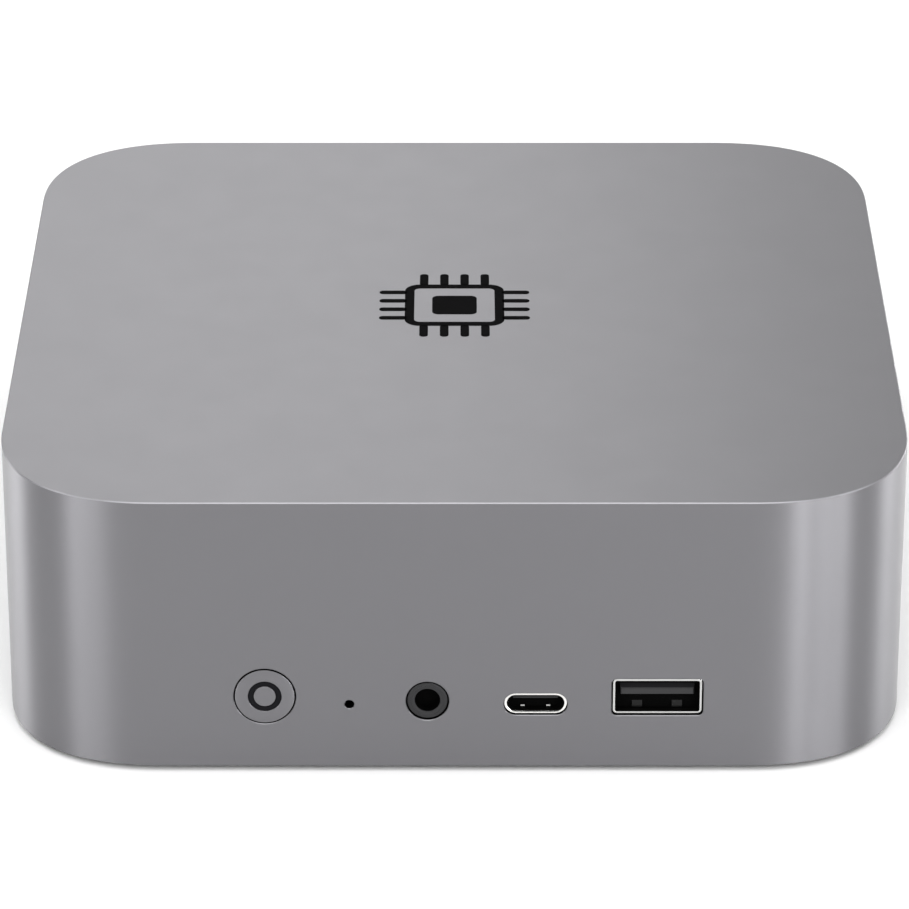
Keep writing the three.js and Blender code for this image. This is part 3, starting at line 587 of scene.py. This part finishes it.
ALUMINIUM = ALUMINIUM.brushed("Y", 0.25, 0.004).material
CELL = Surface("cell_steel", (0.70, 0.69, 0.67), 0.26, 1.0, grain=0.4, bump=0.006)
CELL = CELL.brushed("X", 0.2, 0.003).material
JACKET = surface("lead_jacket", (0.012, 0.012, 0.013), 0.45, grain=0.4, bump=0.008, mottle=0.2)


def board_material(name, node, color, copper, low, high, part_color=(0.02, 0.02, 0.022)):
    """A circuit board. low and high are its two faces, in millimetres above the node's underside."""
    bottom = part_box(node)[0].z / MM
    made = Surface(name, color, 0.4, grain=0.6, bump=0.012, spread=0.1, mottle=0.15)
    return made.traced(copper).populated(bottom + low, bottom + high, part_color).coated(0.3).material


# ---------------------------------------------------------------- housing
def housing():
    low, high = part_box("top_shell")
    width, height = (high.x - low.x) / MM, (high.z - low.z) / MM
    where = place(Vector((0, 0, low.z)), "up")
    outside = prism(housing_plan(width), 0, height, EDGE, EDGE)
    cavity = prism(housing_plan(width, WALL), -1, height - ROOF)
    openings = [
        (disc(BUTTON["hole"]), mouth_of("power_button")),
        (disc(PINHOLE, 48), mouth_of("reset_switch_plunger")),
        (disc(HEADSET["hole"]), mouth_of("headset_jack", HEADSET["drop"])),
        (rounded(*USB_C["opening"], 16), mouth_of("usb_c_front_shell")),
        (rounded(*USB_A["opening"]), mouth_of("usb_a_front_shell")),
    ]
    cutters = [cavity]
    for outline, mouth in openings:
        point = mouth.translation
        on_face = place(Vector((point.x, low.y, point.z)), "front")
        cutters.append(rewritten(through(outline, WALL + 1), on_face, where))
    panel = size_of("rear_panel")
    panel_centre = centre_of("rear_panel")
    opening = rounded(panel.x + 2 * GAP, panel.z + 2 * GAP, PANEL_CORNER, 16)
    on_face = place(Vector((panel_centre.x, high.y, panel_centre.z)), "rear")
    cutters.append(rewritten(through(opening, 2 * WALL + 1, 0.25), on_face, where))
    piece = make("housing", outside, where, ANODISED, ["top_shell"], cutters)
    add_posts(piece, where, height)
    paint_shade_and_highlights(piece, where, width, height)


def paint_shade_and_highlights(piece, where, width, height):
    """Painted shade: the inside and the openings' walls take a near-black material that stands in for the
    shade in them. Painted highlight: the chamfers round the roof and foot take a brighter copy of the
    housing's grey.
    """
    piece.data.materials.append(PAINTED_SHADE)
    piece.data.materials.append(PAINTED_HIGHLIGHT_EDGE)
    painted_shade_slot, painted_highlight_edge = 1, 2
    unplace = where.inverted()
    margin = 0.15
    centre, reach = width / 2 - CORNER, CORNER - margin
    for face in piece.data.polygons:
        u, v, w = unplace @ face.center
        du, dv = max(abs(u) - centre, 0), max(abs(v) - centre, 0)
        within = (du / reach) ** CORNER_POWER + (dv / reach) ** CORNER_POWER < 1
        if within and margin < w < height - EDGE - margin:
            face.material_index = painted_shade_slot
        elif abs(min(w, height - w) - EDGE / 2) < EDGE / 4:
            # painted highlight on the chamfers round the roof and foot
            face.material_index = painted_highlight_edge


def add_posts(piece, where, height):
    """Screw posts that stand down from the roof."""
    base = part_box("top_shell")[0].z / MM
    cover_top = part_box("bottom_cover")[1].z / MM - base
    board_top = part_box("board_screw_front")[0].z / MM - base + BOARD_SCREW_HEAD + BOARD_THICK
    posts = [post("foot_" + corner, CORNER_POST, cover_top + GAP, height) for corner in CORNERS]
    posts += [post("board_screw_" + end, BOARD_POST, board_top + GAP, height) for end in ("front", "rear")]
    extra = make_mesh("posts", joined(*posts), where)
    shape = bmesh.new()
    shape.from_mesh(piece.data)
    shape.from_mesh(extra.data)
    shape.to_mesh(piece.data)
    shape.free()
    bpy.data.objects.remove(extra)


def post(node, sizes, bottom, height):
    """A post over a node, from inside the roof down to bottom, with a screw's bore in its end."""
    centre = centre_of(node) / MM
    radius, bore, root = sizes["radius"], sizes["bore"], height - ROOF / 2
    bore_end = bottom + sizes["deep"]
    profile = [(0, root), (radius, root), (radius, bottom), (bore, bottom), (bore, bore_end), (0, bore_end)]
    return moved(turned(profile, 32), centre.x, centre.y)


def emblem():
    """A plain pictogram of a microchip, printed on the roof: a frame, its core and four pins a side."""
    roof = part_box("top_shell")[1].z
    back = 1.6 * MM  # its middle is this far behind the roof's
    where = place(Vector((0, back, roof)), "up")
    under, over = -0.05, 0.012
    body, stroke, corner = 15.6, 1.5, 2.4
    core, core_corner = 7.0, 1.0
    pin_wide, pin_long, pin_corner, pitch, pins, overlap = 1.35, 4.3, 0.6, 3.2, 4, 0.3
    hole = body - 2 * stroke
    outer, inner = rounded(body, body, corner), rounded(hole, hole, corner - stroke)
    rings = [ring(outer(), under), ring(outer(), over), ring(inner(), over), ring(inner(), under)]
    solids = [loft(rings, closed=True), prism(rounded(core, core, core_corner), under, over)]
    upright = rounded(pin_wide, pin_long, pin_corner, 6)
    lying = rounded(pin_long, pin_wide, pin_corner, 6)
    away = body / 2 + pin_long / 2 - overlap
    for i in range(pins):
        along = (i - (pins - 1) / 2) * pitch
        for side in (-1, 1):
            solids.append(prism(shifted(upright, along, side * away), under, over))
            solids.append(prism(shifted(lying, side * away, along), under, over))
    make("roof_emblem", joined(*solids), where, PRINT)


# ---------------------------------------------------------------- front controls
def power_button():
    """The cap, with a groove in its face for a ring of smoked light guide."""
    where = mouth_of("power_button")
    edge, collar, stem = BUTTON["cap"], BUTTON["collar"], BUTTON["stem"]
    cap_end, collar_end, stem_end = (BUTTON_ENDS[key] for key in ("cap", "collar", "stem"))
    groove_out, groove_in = RING["outer"] + RING["play"], RING["inner"] - RING["play"]
    deep = RING["deep"] + RING["play"]
    broken, rim, rounding = 0.04, 0.12, 0.035
    profile = [
        (0, 0),
        (groove_in - broken, 0),
        (groove_in, broken),
        (groove_in, deep),
        (groove_out, deep),
        (groove_out, broken),
        (groove_out + broken, 0),
        (edge - rim, 0),
        (edge - rounding, rounding),
        (edge, rim),
        (edge, cap_end),
        (collar, cap_end),
        (collar, collar_end),
        (stem, collar_end),
        (stem, stem_end),
        (0, stem_end),
    ]
    cap = make(
        "power_button_cap", turned(profile), where, ANODISED, ["power_button"], body="power_button"
    )
    # Painted shade: the cap's sides and the walls of its groove, deeper than 0.05 mm, take the near-black
    # material, so the gap round the cap reads dark.
    shade_deeper_faces(cap, where, PAINTED_SHADE, 0.05)
    outer, inner, edge, deep = RING["outer"], RING["inner"], 0.05, RING["deep"]
    front = [(outer, edge), (outer - edge, 0), (inner + edge, 0), (inner, edge)]
    guide = turned_ring([(outer, deep)] + front + [(inner, deep)])
    make("power_ring", guide, where, SMOKED, ["power_light_ring"], body="power_button")


def headset_jack():
    """A collar flush with the housing's face, in front of the jack's body and its contact spring."""
    where = mouth_of("headset_jack", HEADSET["drop"])
    nose, bore, drop, nose_end = (HEADSET[key] for key in ("nose", "bore", "drop", "nose_end"))
    lip, sunk = 0.5, 0.05
    profile = [
        (nose, nose_end),
        (nose, 0.15),
        (nose - 0.05, 0.05),
        (nose - 0.18, 0),
        (nose - lip, 0),
        (nose - lip - 0.04, sunk),
        (bore + 0.16, sunk),
        (bore + 0.05, 0.1),
        (bore, 0.22),
        (bore, nose_end),
    ]
    collar = make("headset_jack_collar", turned_ring(profile), where, COLLAR)
    # Painted shade: the bore's wall, deeper than 0.2 mm, takes the near-black material.
    shade_deeper_faces(collar, where, PAINTED_SHADE, 0.2)
    size = size_of("headset_jack")
    half, front, floor = size.x / 2, nose_end - 0.3, 1.5
    body = block(-half, half, -drop, size.z - drop, front, size.y, 0.2)
    hole = prism(disc(bore), -1, size.y - floor)
    # Painted shade: the whole body is near black, so the bore through it reads dark.
    make("headset_jack_body", body, where, PAINTED_SHADE, ["headset_jack"], [hole])
    spring = [(-1.9, 5), (-1.5, 5.6), (-1.2, 6.2), (-1.5, 6.8), (-1.9, 7.4)]
    thick, half_wide = 0.12, 0.5
    strip = ribbon(spring, thick, -half_wide, half_wide)
    make("headset_jack_spring", strip, where, NICKEL)


# ---------------------------------------------------------------- connectors
def usb_a(name):
    """A shell with two spring tabs on its floor, and a tongue with four contacts under it."""
    shell, tongue = name + "_shell", name + "_tongue"
    where = mouth_of(shell)
    size, sheet = size_of(shell), USB_A["sheet"]
    rim = 0.05
    outer = rounded(size.x, size.z, USB_A["corner"])
    inner = rounded(size.x - 2 * sheet, size.z - 2 * sheet, sheet)
    floor = sheet - size.z / 2
    cover = make(
        name + "_sheet", tube(outer, inner, 0, size.y, rim), where, SATIN_NICKEL, [shell]
    )
    # Painted shade: the shell's inside, behind its rim, takes the darker copy of the nickel.
    shade_deeper_faces(cover, where, SHADED_NICKEL, 0.04)
    rise = [(0, 6.2), (0.9, 3.6), (1.25, 2.6), (1.35, 2.1), (1.2, 1.75), (0.3, 1.3), (0.1, 1.24)]
    spring_at, spring_half, spring_thick = 2.95, 0.75, 0.14
    strip = ribbon(rise, spring_thick, -spring_half, spring_half)
    springs = [moved(strip, u, floor) for u in (-spring_at, spring_at)]
    # Painted shade: the spring tabs take a near-black metal that stands in for the shade they sit in.
    make(name + "_springs", joined(*springs), where, PAINTED_SHADE_SPRING)

    low, lip, top = floor + 2.35, floor + 3.37, floor + 4.34
    half, set_back, back = 5.55, USB_A["set_back"], USB_A["back"]

    def section(inset, bottom, ceiling):
        reach = half - inset
        return [(-reach, bottom), (reach, bottom), (reach, ceiling), (-reach, ceiling)]

    blade = loft(
        [
            ring(section(0.25, low + 0.08, lip), set_back),
            ring(section(0.1, low, lip + 0.1), set_back + 0.15),
            ring(section(0, low, top), set_back + 1.0),
            ring(section(0, low, top), back + 0.5),
        ]
    )
    play = 0.08
    rear = prism(lambda inset=0.0: inner(play + inset), back, size.y, 0.1)
    insert = make(name + "_insert", joined(blade, rear), where, INSERT, [tongue])
    # Painted shade: the tongue behind its front lip takes the darker copy of the insert.
    shade_deeper_faces(insert, where, PAINTED_SHADE_INSERT, set_back + 0.25)
    pads = [block(u - 0.5, u + 0.5, low - 0.03, low + 0.1, 2.2, 8.5, 0.02) for u in (-3.5, -1, 1, 3.5)]
    make(name + "_contacts", joined(*pads), where, GOLD)


def usb_c(name):
    """An oval shell with two spring tabs on its floor, and a tongue with twelve contacts a side."""
    shell, tongue = name + "_shell", name + "_tongue"
    where = mouth_of(shell)
    size, sheet = size_of(shell), USB_C["sheet"]
    short, flare = 0.02, 0.08  # short: how much less than round the ends are. flare: of the rim
    inner = rounded(size.x - 2 * sheet, size.z - 2 * sheet, size.z / 2 - sheet - short, 20)
    outer = rounded(size.x + flare, size.z, size.z / 2 - short, 20)
    can = tube(outer, inner, 0, size.y, 0.03, 0.24)
    floor = sheet - size.z / 2
    cover = make(name + "_sheet", can, where, NICKEL, [shell])
    # Painted shade: the shell's inside, behind its rim, takes the darker copy of the nickel.
    shade_deeper_faces(cover, where, SHADED_NICKEL, 0.2)
    rise = [(-0.02, 2.2), (0.14, 1.9), (0.18, 1.65), (0.12, 1.5), (0.0, 1.42)]
    spring_at, spring_half, spring_thick = 1.9, 0.3, 0.08
    strip = ribbon(rise, spring_thick, -spring_half, spring_half)
    springs = [moved(strip, u, floor) for u in (-spring_at, spring_at)]
    # Painted shade: the spring tabs take the darker copy of the nickel.
    make(name + "_springs", joined(*springs), where, SHADED_SPRING_NICKEL)

    half, thin, set_back, back = 3.35, 0.35, USB_C["set_back"], USB_C["back"]
    play, root_end = 0.08, 3
    blade = joined(
        block(-half, half, 0.05, thin, set_back, back + 0.5, 0.05),
        block(-half, half, -thin, 0.1, set_back + 0.25, back + 0.5, 0.05),
    )
    rear = prism(lambda inset=0.0: inner(play + inset), back, size.y + 1, 0.1)
    top = size_of(tongue).z - size.z / 2 + sheet + play
    foot = block(-size.x / 2, size.x / 2, -size.z / 2, top, size.y + play, size.y + root_end, 0.1)
    insert = make(name + "_insert", joined(blade, rear, foot), where, INSERT, [tongue])
    # Painted shade: every face deeper than the tongue's front takes the darker copy of the insert.
    shade_deeper_faces(insert, where, PAINTED_SHADE_INSERT, set_back + 0.1)
    contacts, pitch = 12, 0.5
    pads = []
    for i in range(contacts):
        u = (i - (contacts - 1) / 2) * pitch
        for side in (-1, 1):
            pads.append(moved(block(u - 0.12, u + 0.12, -0.02, 0.02, 2.2, 4.4, 0.01), v=side * thin))
    make(name + "_contacts", joined(*pads), where, GOLD)


def hdmi():
    """A five-sided shell, and a tongue with nineteen contacts under it."""
    where = mouth_of("hdmi_shell")
    long, sheet, set_back, back = size_of("hdmi_shell").y, HDMI["sheet"], HDMI["set_back"], HDMI["back"]
    rim, play = 0.12, 0.15
    can = tube(hdmi_outline(), hdmi_outline(sheet), 0, long, rim)
    make("hdmi_sheet", can, where, NICKEL, ["hdmi_shell"])
    half, low, top = 5.6, -0.2, 1
    blade = block(-half, half, low, top, set_back, back + 0.5, 0.12)
    rear = prism(hdmi_outline(sheet + play), back, long, 0.1)
    make("hdmi_insert", joined(blade, rear), where, INSERT, ["hdmi_tongue"])
    pitch, reach, wide = 0.5, 9, 0.14
    pads = [
        block(i * pitch - wide, i * pitch + wide, low - 0.03, low + 0.05, 1.5, 6, 0.01)
        for i in range(-reach, reach + 1)
    ]
    make("hdmi_contacts", joined(*pads), where, GOLD)


def lan_jack():
    """A sheet box round a plastic body with room for the plug and its latch, and two coloured windows."""
    where = mouth_of("lan_jack_shell")
    size, sheet, floor = size_of("lan_jack_shell"), LAN["sheet"], LAN["floor"]
    play, shy, rim = 0.08, 0.02, 0.1
    outer = rounded(size.x, size.z, 0.4)
    inner = rounded(size.x - 2 * sheet, size.z - 2 * sheet, 0.3)
    rear = prism(rounded(size.x - 2 * shy, size.z - 2 * shy, 0.38), size.y - floor, size.y)
    can = joined(tube(outer, inner, 0, size.y - shy / 2, rim), rear)
    make("lan_jack_sheet", can, where, NICKEL, ["lan_jack_shell"])

    half_wide, half_high = size.x / 2 - sheet - play, size.z / 2 - sheet - play
    front, deep = 0.2, 12.4
    body = block(-half_wide, half_wide, -half_high, half_high, front, size.y - floor - 0.1, 0.1)
    plug = moved(through(shifted(rounded(11.9, 6.8, 0.1, 2), 0, 0.8), deep, 0.2), w=front)
    latch = moved(through(shifted(rounded(6.2, 1.9, 0.1, 2), 0, -3.45), deep, 0.05), w=front)
    body = make("lan_jack_body", body, where, INSERT, ["lan_jack_insert"], [plug])
    carve_kept(body, [latch], where)
    path = [(3.9, 2.6), (3.2, 4.2), (2.3, 6.4), (1.4, 8.6), (0.7, 10.4)]
    wires = []
    for i in range(LAN["wires"]):
        u = (i - (LAN["wires"] - 1) / 2) * LAN["pitch"]
        wires.append(ribbon(path, 0.3, u - 0.16, u + 0.16))
    make("lan_jack_contacts", joined(*wires), where, GOLD)
    for side, material, name in (
        (-1, AMBER, "lan_jack_activity_window"),
        (1, GREEN, "lan_jack_link_window"),
    ):
        middle, half = side * 5.3, 1.5
        window = block(middle - half, middle + half, -4.7, -3.3, 0.12, 0.6, 0.08)
        make(name, window, where, material)


def dc_jack():
    """A round nose, a body behind it, and a pin on its axis."""
    drop, nose, bore, deep = (POWER_INLET[key] for key in ("drop", "nose", "bore", "deep"))
    nose_end, pin_radius = POWER_INLET["nose_end"], POWER_INLET["pin"]
    broken, behind = 0.08, 0.2
    where = mouth_of("dc_jack", drop)
    profile = [
        (nose, nose_end),
        (nose, broken),
        (nose - broken, 0),
        (bore + broken, 0),
        (bore, broken),
        (bore, nose_end),
    ]
    make("dc_jack_rim", turned_ring(profile), where, MOULDED)
    size = size_of("dc_jack")
    body = block(-size.x / 2, size.x / 2, -drop, size.z - drop, nose_end - behind, size.y, 0.2)
    hole = prism(disc(bore), -1, deep)
    make("dc_jack_body", body, where, MOULDED, ["dc_jack"], [hole])
    root = deep + 0.4
    tip = [(0, 0.9), (0.55, 0.92), (0.85, 1.05), (pin_radius, 1.4)]
    pin = turned(tip + [(pin_radius, root), (0, root)], 48)
    make("dc_jack_pin", pin, where, NICKEL)


# ---------------------------------------------------------------- rear panel and underside
def rear_panel():
    size, centre = size_of("rear_panel"), centre_of("rear_panel")
    where = place(Vector((centre.x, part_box("rear_panel")[1].y, centre.z)), "rear")
    usb_a_hole, usb_c_hole = rounded(*USB_A["opening"]), rounded(*USB_C["opening"], 16)
    holes = [
        (disc(POWER_INLET["hole"]), mouth_of("dc_jack", POWER_INLET["drop"])),
        (usb_c_hole, mouth_of("usb_c_rear_shell")),
        (hdmi_outline(-GAP), mouth_of("hdmi_shell")),
        (rounded(*LAN["opening"]), mouth_of("lan_jack_shell")),
        (usb_a_hole, mouth_of("usb_a_rear_1_shell")),
        (usb_a_hole, mouth_of("usb_a_rear_2_shell")),
    ]
    cutters = []
    for outline, mouth in holes:
        point = mouth.translation
        u, v = (centre.x - point.x) / MM, (point.z - centre.z) / MM
        cutters.append(moved(through(outline, size.y + 1), u, v))
    tall = GRILLE["top"] - GRILLE["bottom"]
    up = (GRILLE["top"] + GRILLE["bottom"]) / 2 - centre.z / MM
    slot = through(rounded(GRILLE["slot"], tall, 0.7, 4), size.y + 1, 0.2)
    u = GRILLE["slot"] / 2 - GRILLE["half"]
    while u < GRILLE["half"]:
        cutters.append(moved(slot, u, up))
        u += GRILLE["pitch"]
    panel = prism(rounded(size.x, size.z, PANEL_CORNER - GAP, 16), 0, size.y, 0.25, 0.1)
    make("rear_plate", panel, where, MOULDED, ["rear_panel"], cutters)


def bottom_cover():
    size, width = size_of("bottom_cover"), size_of("top_shell").x
    where = place(Vector((0, 0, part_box("bottom_cover")[0].z)), "up")
    cutters = []
    for corner in CORNERS:
        centre = centre_of("foot_" + corner) / MM
        cutters.append(moved(through(disc(SCREW["shank"] + GAP, 32), size.z + 1), centre.x, centre.y))
    half, power = INTAKE["half"], INTAKE["power"]
    rows = int(half // INTAKE["pitch"])
    for row in range(-rows, rows + 1):
        v = row * INTAKE["pitch"]
        reach = (half**power - abs(v) ** power) ** (1 / power)
        slot = rounded(2 * reach, INTAKE["slot"], INTAKE["slot"] / 2 - 0.01)
        cutters.append(moved(through(slot, size.z + 1, 0.15), 0, v))
    plate = prism(housing_plan(width, WALL + GAP), 0, size.z, 0.2, 0.1)
    make("cover_plate", plate, where, MOULDED, ["bottom_cover"], cutters)


def feet():
    radius, bore = FOOT["radius"], FOOT["bore"]
    for corner in CORNERS:
        node = "foot_" + corner
        top = size_of(node).z
        profile = [
            (bore, 0.4),
            (bore + 0.12, 0.12),
            (bore + 0.4, 0),
            (radius - 0.6, 0),
            (radius - 0.18, 0.18),
            (radius, 0.6),
            (radius, top),
            (bore, top),
        ]
        make(node + "_pad", turned_ring(profile), seat_of(node), RUBBER, [node])


def screw_profile(long):
    """A pan head, and a shank with a ridge for each turn of its thread."""
    head, head_high, shank, thread = (SCREW[key] for key in ("head", "head_high", "shank", "thread"))
    root = shank - 0.18
    profile = [(0, 0), (head - 0.5, 0.02), (head - 0.15, 0.16), (head, 0.45), (head, head_high)]
    profile.append((root, head_high))
    turns = int((long - head_high - 0.6) / thread)
    for turn in range(turns):
        depth = head_high + turn * thread
        profile += [(root, depth + 0.05), (shank, depth + thread / 2), (root, depth + thread - 0.05)]
    return profile + [(root, long - 0.3), (root - 0.3, long), (0, long)]


def cover_screws():
    """Their heads have a cross recess that narrows as it goes in."""
    wide = [(-1.35, -0.28), (1.35, -0.28), (1.35, 0.28), (-1.35, 0.28)]
    narrow = [(-0.7, -0.2), (0.7, -0.2), (0.7, 0.2), (-0.7, 0.2)]
    arm = [ring(wide, -0.5), ring(wide, 0.1), ring(narrow, 0.85)]
    quarter_turn = [[(-v, u, w) for u, v, w in one] for one in arm]
    for corner in CORNERS:
        node = "cover_screw_" + corner
        where = seat_of(node)
        profile = screw_profile(size_of(node).z)
        piece = make(node + "_steel", turned(profile, 48), where, BLACK_STEEL, [node])
        carve_kept(piece, [loft(arm), loft(quarter_turn)], where)


def carve_kept(piece, cutters, where):
    """Cuts a finished piece, which keeps its shading and its place on its body."""
    carve(piece, cutters, where)
    piece.data.shade_smooth()
    piece.data.set_sharp_from_angle(angle=SHARP)
    even_normals(piece)


# ---------------------------------------------------------------- CAD nodes that keep their own shape
DARK_RESIST = ((0.012, 0.016, 0.022), (0.03, 0.04, 0.05))  # the board, and the copper under it
GREEN_RESIST = ((0.010, 0.045, 0.020), (0.02, 0.09, 0.04))
RADIO_CAN = (0.5, 0.5, 0.5)
MAIN_BOARD = board_material("main_board", "motherboard", *DARK_RESIST, 2.5, 4.35)
MEMORY_CARD = board_material("memory_card", "memory_module_1", *GREEN_RESIST, 0.95, 2.25)
DRIVE_CARD = board_material("drive_card", "ssd_module", *GREEN_RESIST, 1.15, 2.05)
RADIO_CARD = board_material("radio_card", "wifi_card", *GREEN_RESIST, 1.35, 2.25, RADIO_CAN)

# Each node's material, and how far its edges are broken, in millimetres.
DRESSED = {
    "dust_filter": (FILTER, 0.05),
    "button_guide": (MOULDED, 0.12),
    "power_switch": (BLACK_STEEL, 0.15),
    "power_switch_plunger": (INSERT, 0.12),
    "reset_switch": (BLACK_STEEL, 0.15),
    "reset_switch_plunger": (INSERT, 0.1),
    "board_screw_front": (BLACK_STEEL, 0.08),
    "board_screw_rear": (BLACK_STEEL, 0.08),
    "ssd_screw": (BLACK_STEEL, 0.08),
    "motherboard": (MAIN_BOARD, 0.12),
    "cpu_package": (SILICON, 0.1),
    "coin_cell": (CELL, 0.25),
    "coin_cell_holder": (INSERT, 0.15),
    "vapor_chamber": (COPPER, 0.3),
    "fin_stack": (ALUMINIUM, 0.04),
    "fan_housing": (MOULDED, 0.15),
    "fan_cover": (ALUMINIUM, 0.1),
    "fan_rotor": (MOULDED, 0.1),
    "fan_stator": (COPPER, 0.15),
    "fan_lead": (JACKET, 0.0),
    "memory_socket_1": (INSERT, 0.12),
    "memory_socket_2": (INSERT, 0.12),
    "memory_module_1": (MEMORY_CARD, 0.06),
    "memory_module_2": (MEMORY_CARD, 0.06),
    "ssd_socket": (INSERT, 0.12),
    "ssd_module": (DRIVE_CARD, 0.06),
    "ssd_heatsink": (ALUMINIUM, 0.12),
    "wifi_socket": (INSERT, 0.12),
    "wifi_card": (RADIO_CARD, 0.06),
    "antenna_left": (JACKET, 0.0),
    "antenna_right": (JACKET, 0.0),
}


def dress(node, material, edge):
    """Gives a CAD node its material, and breaks its edges by edge millimetres."""
    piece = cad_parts[node]
    piece.data.materials.clear()
    piece.data.materials.append(material)
    weld = piece.modifiers.new("weld", "WELD")
    weld.merge_threshold = 1e-6
    if edge:
        flat = piece.modifiers.new("flat", "DECIMATE")
        flat.decimate_type = "DISSOLVE"
        flat.angle_limit = math.radians(1)
        bevel = piece.modifiers.new("edge", "BEVEL")
        bevel.width = edge * MM
        bevel.segments = 2
        bevel.limit_method = "ANGLE"
        bevel.angle_limit = SHARP
    piece.data.shade_smooth()
    even_normals(piece)


# ---------------------------------------------------------------- stage
def floor():
    material = surface("pale_floor", (0.88, 0.88, 0.88), 0.75, grain=4, spread=0.04, mottle=0.005)
    wide, thick = 8000, 10
    plate = prism(rounded(wide, wide, 10, 2), -thick, 0)
    piece = make_mesh("floor", plate, place(Vector((0, 0, cad_low.z)), "up"))
    piece.data.materials.append(material)


def softbox(name, azimuth, elevation, distance, width, height, power):
    """An area light turned to the object. Azimuth 0 is in front of it and 90 to its right."""
    a, e = math.radians(azimuth), math.radians(elevation)
    back = Vector((math.sin(a) * math.cos(e), -math.cos(a) * math.cos(e), math.sin(e)))
    data = bpy.data.lights.new(name, "AREA")
    data.shape = "RECTANGLE"
    data.size, data.size_y = width, height
    data.energy = power
    lamp = bpy.data.objects.new(name, data)
    lamp.location = CAMERA_TARGET + back * distance
    lamp.rotation_euler = (-back).to_track_quat("-Z", "Y").to_euler()
    bpy.context.scene.collection.objects.link(lamp)


# A softbox's azimuth, elevation, distance, width, height and power.
BOXES = {
    "front_box": (0, 38, 1.6, 1.4, 0.9, 17.5),
    "edge_box": (0, 64, 1.4, 1.2, 0.5, 3.8),
    "top_box": (0, 88, 1.4, 0.9, 0.9, 7.2),
    "rear_box": (180, 30, 1.5, 0.8, 0.8, 2.4),
    "rear_left_box": (-168, 30, 1.5, 0.8, 0.8, 2.3),
}
SIDE_BOXES = {
    "shoulder": (82, 47, 1.3, 1.1, 0.45, 4),
    "cheek": (130, 21, 1.3, 0.5, 0.4, 2),
    "fill": (55, 22, 1.5, 0.9, 0.35, 2.2),
}
# The strips are level with the walls and below the roof, so that they light the walls alone.
STRIP_DISTANCE = 0.85
STRIP_HEIGHT = 0.038
STRIPS = {  # azimuth, width and power
    "left_front": (-35.5, 0.17, 0.9),
    "left_side": (-49.5, 0.19, 1.5),
    "left_rear": (-110, 0.27, 5.2),
    "right_front": (28, 0.1, 1.7),
    "right_side": (43.5, 0.18, 1.6),
    "right_far": (57, 0.12, 1.45),
    "right_rear": (104.5, 0.27, 4.4),
    "right_back": (132, 0.27, 1.75),
}


def light():
    world = bpy.data.worlds.new("studio")
    world.use_nodes = True
    background = world.node_tree.nodes["Background"]
    background.inputs["Color"].default_value = (1, 1, 1, 1)
    background.inputs["Strength"].default_value = 0.01
    bpy.context.scene.world = world
    for name, sizes in BOXES.items():
        softbox(name, *sizes)
    for side, side_name in ((-1, "left"), (1, "right")):
        for name, (azimuth, *sizes) in SIDE_BOXES.items():
            softbox(side_name + "_" + name, side * azimuth, *sizes)
    for name, (azimuth, width, power) in STRIPS.items():
        softbox(name + "_strip", azimuth, 0, STRIP_DISTANCE, width, STRIP_HEIGHT, power)


def camera():
    data = bpy.data.cameras.new("camera")
    data.lens = CAMERA_LENS
    data.sensor_width = 36
    data.clip_start, data.clip_end = 0.05, 50
    back = Vector((0, -math.cos(CAMERA_ELEVATION), math.sin(CAMERA_ELEVATION)))
    seen_by = bpy.data.objects.new("camera", data)
    seen_by.location = CAMERA_TARGET + back * CAMERA_DISTANCE
    seen_by.rotation_euler = (-back).to_track_quat("-Z", "Y").to_euler()
    bpy.context.scene.collection.objects.link(seen_by)
    bpy.context.scene.camera = seen_by


housing()
emblem()
power_button()
headset_jack()
usb_c("usb_c_front")
usb_a("usb_a_front")
rear_panel()
dc_jack()
usb_c("usb_c_rear")
hdmi()
lan_jack()
usb_a("usb_a_rear_1")
usb_a("usb_a_rear_2")
bottom_cover()
feet()
cover_screws()
for node_name, (node_material, node_edge) in DRESSED.items():
    dress(node_name, node_material, node_edge)
floor()
light()
camera()
bpy.context.scene.view_settings.view_transform = "Standard"
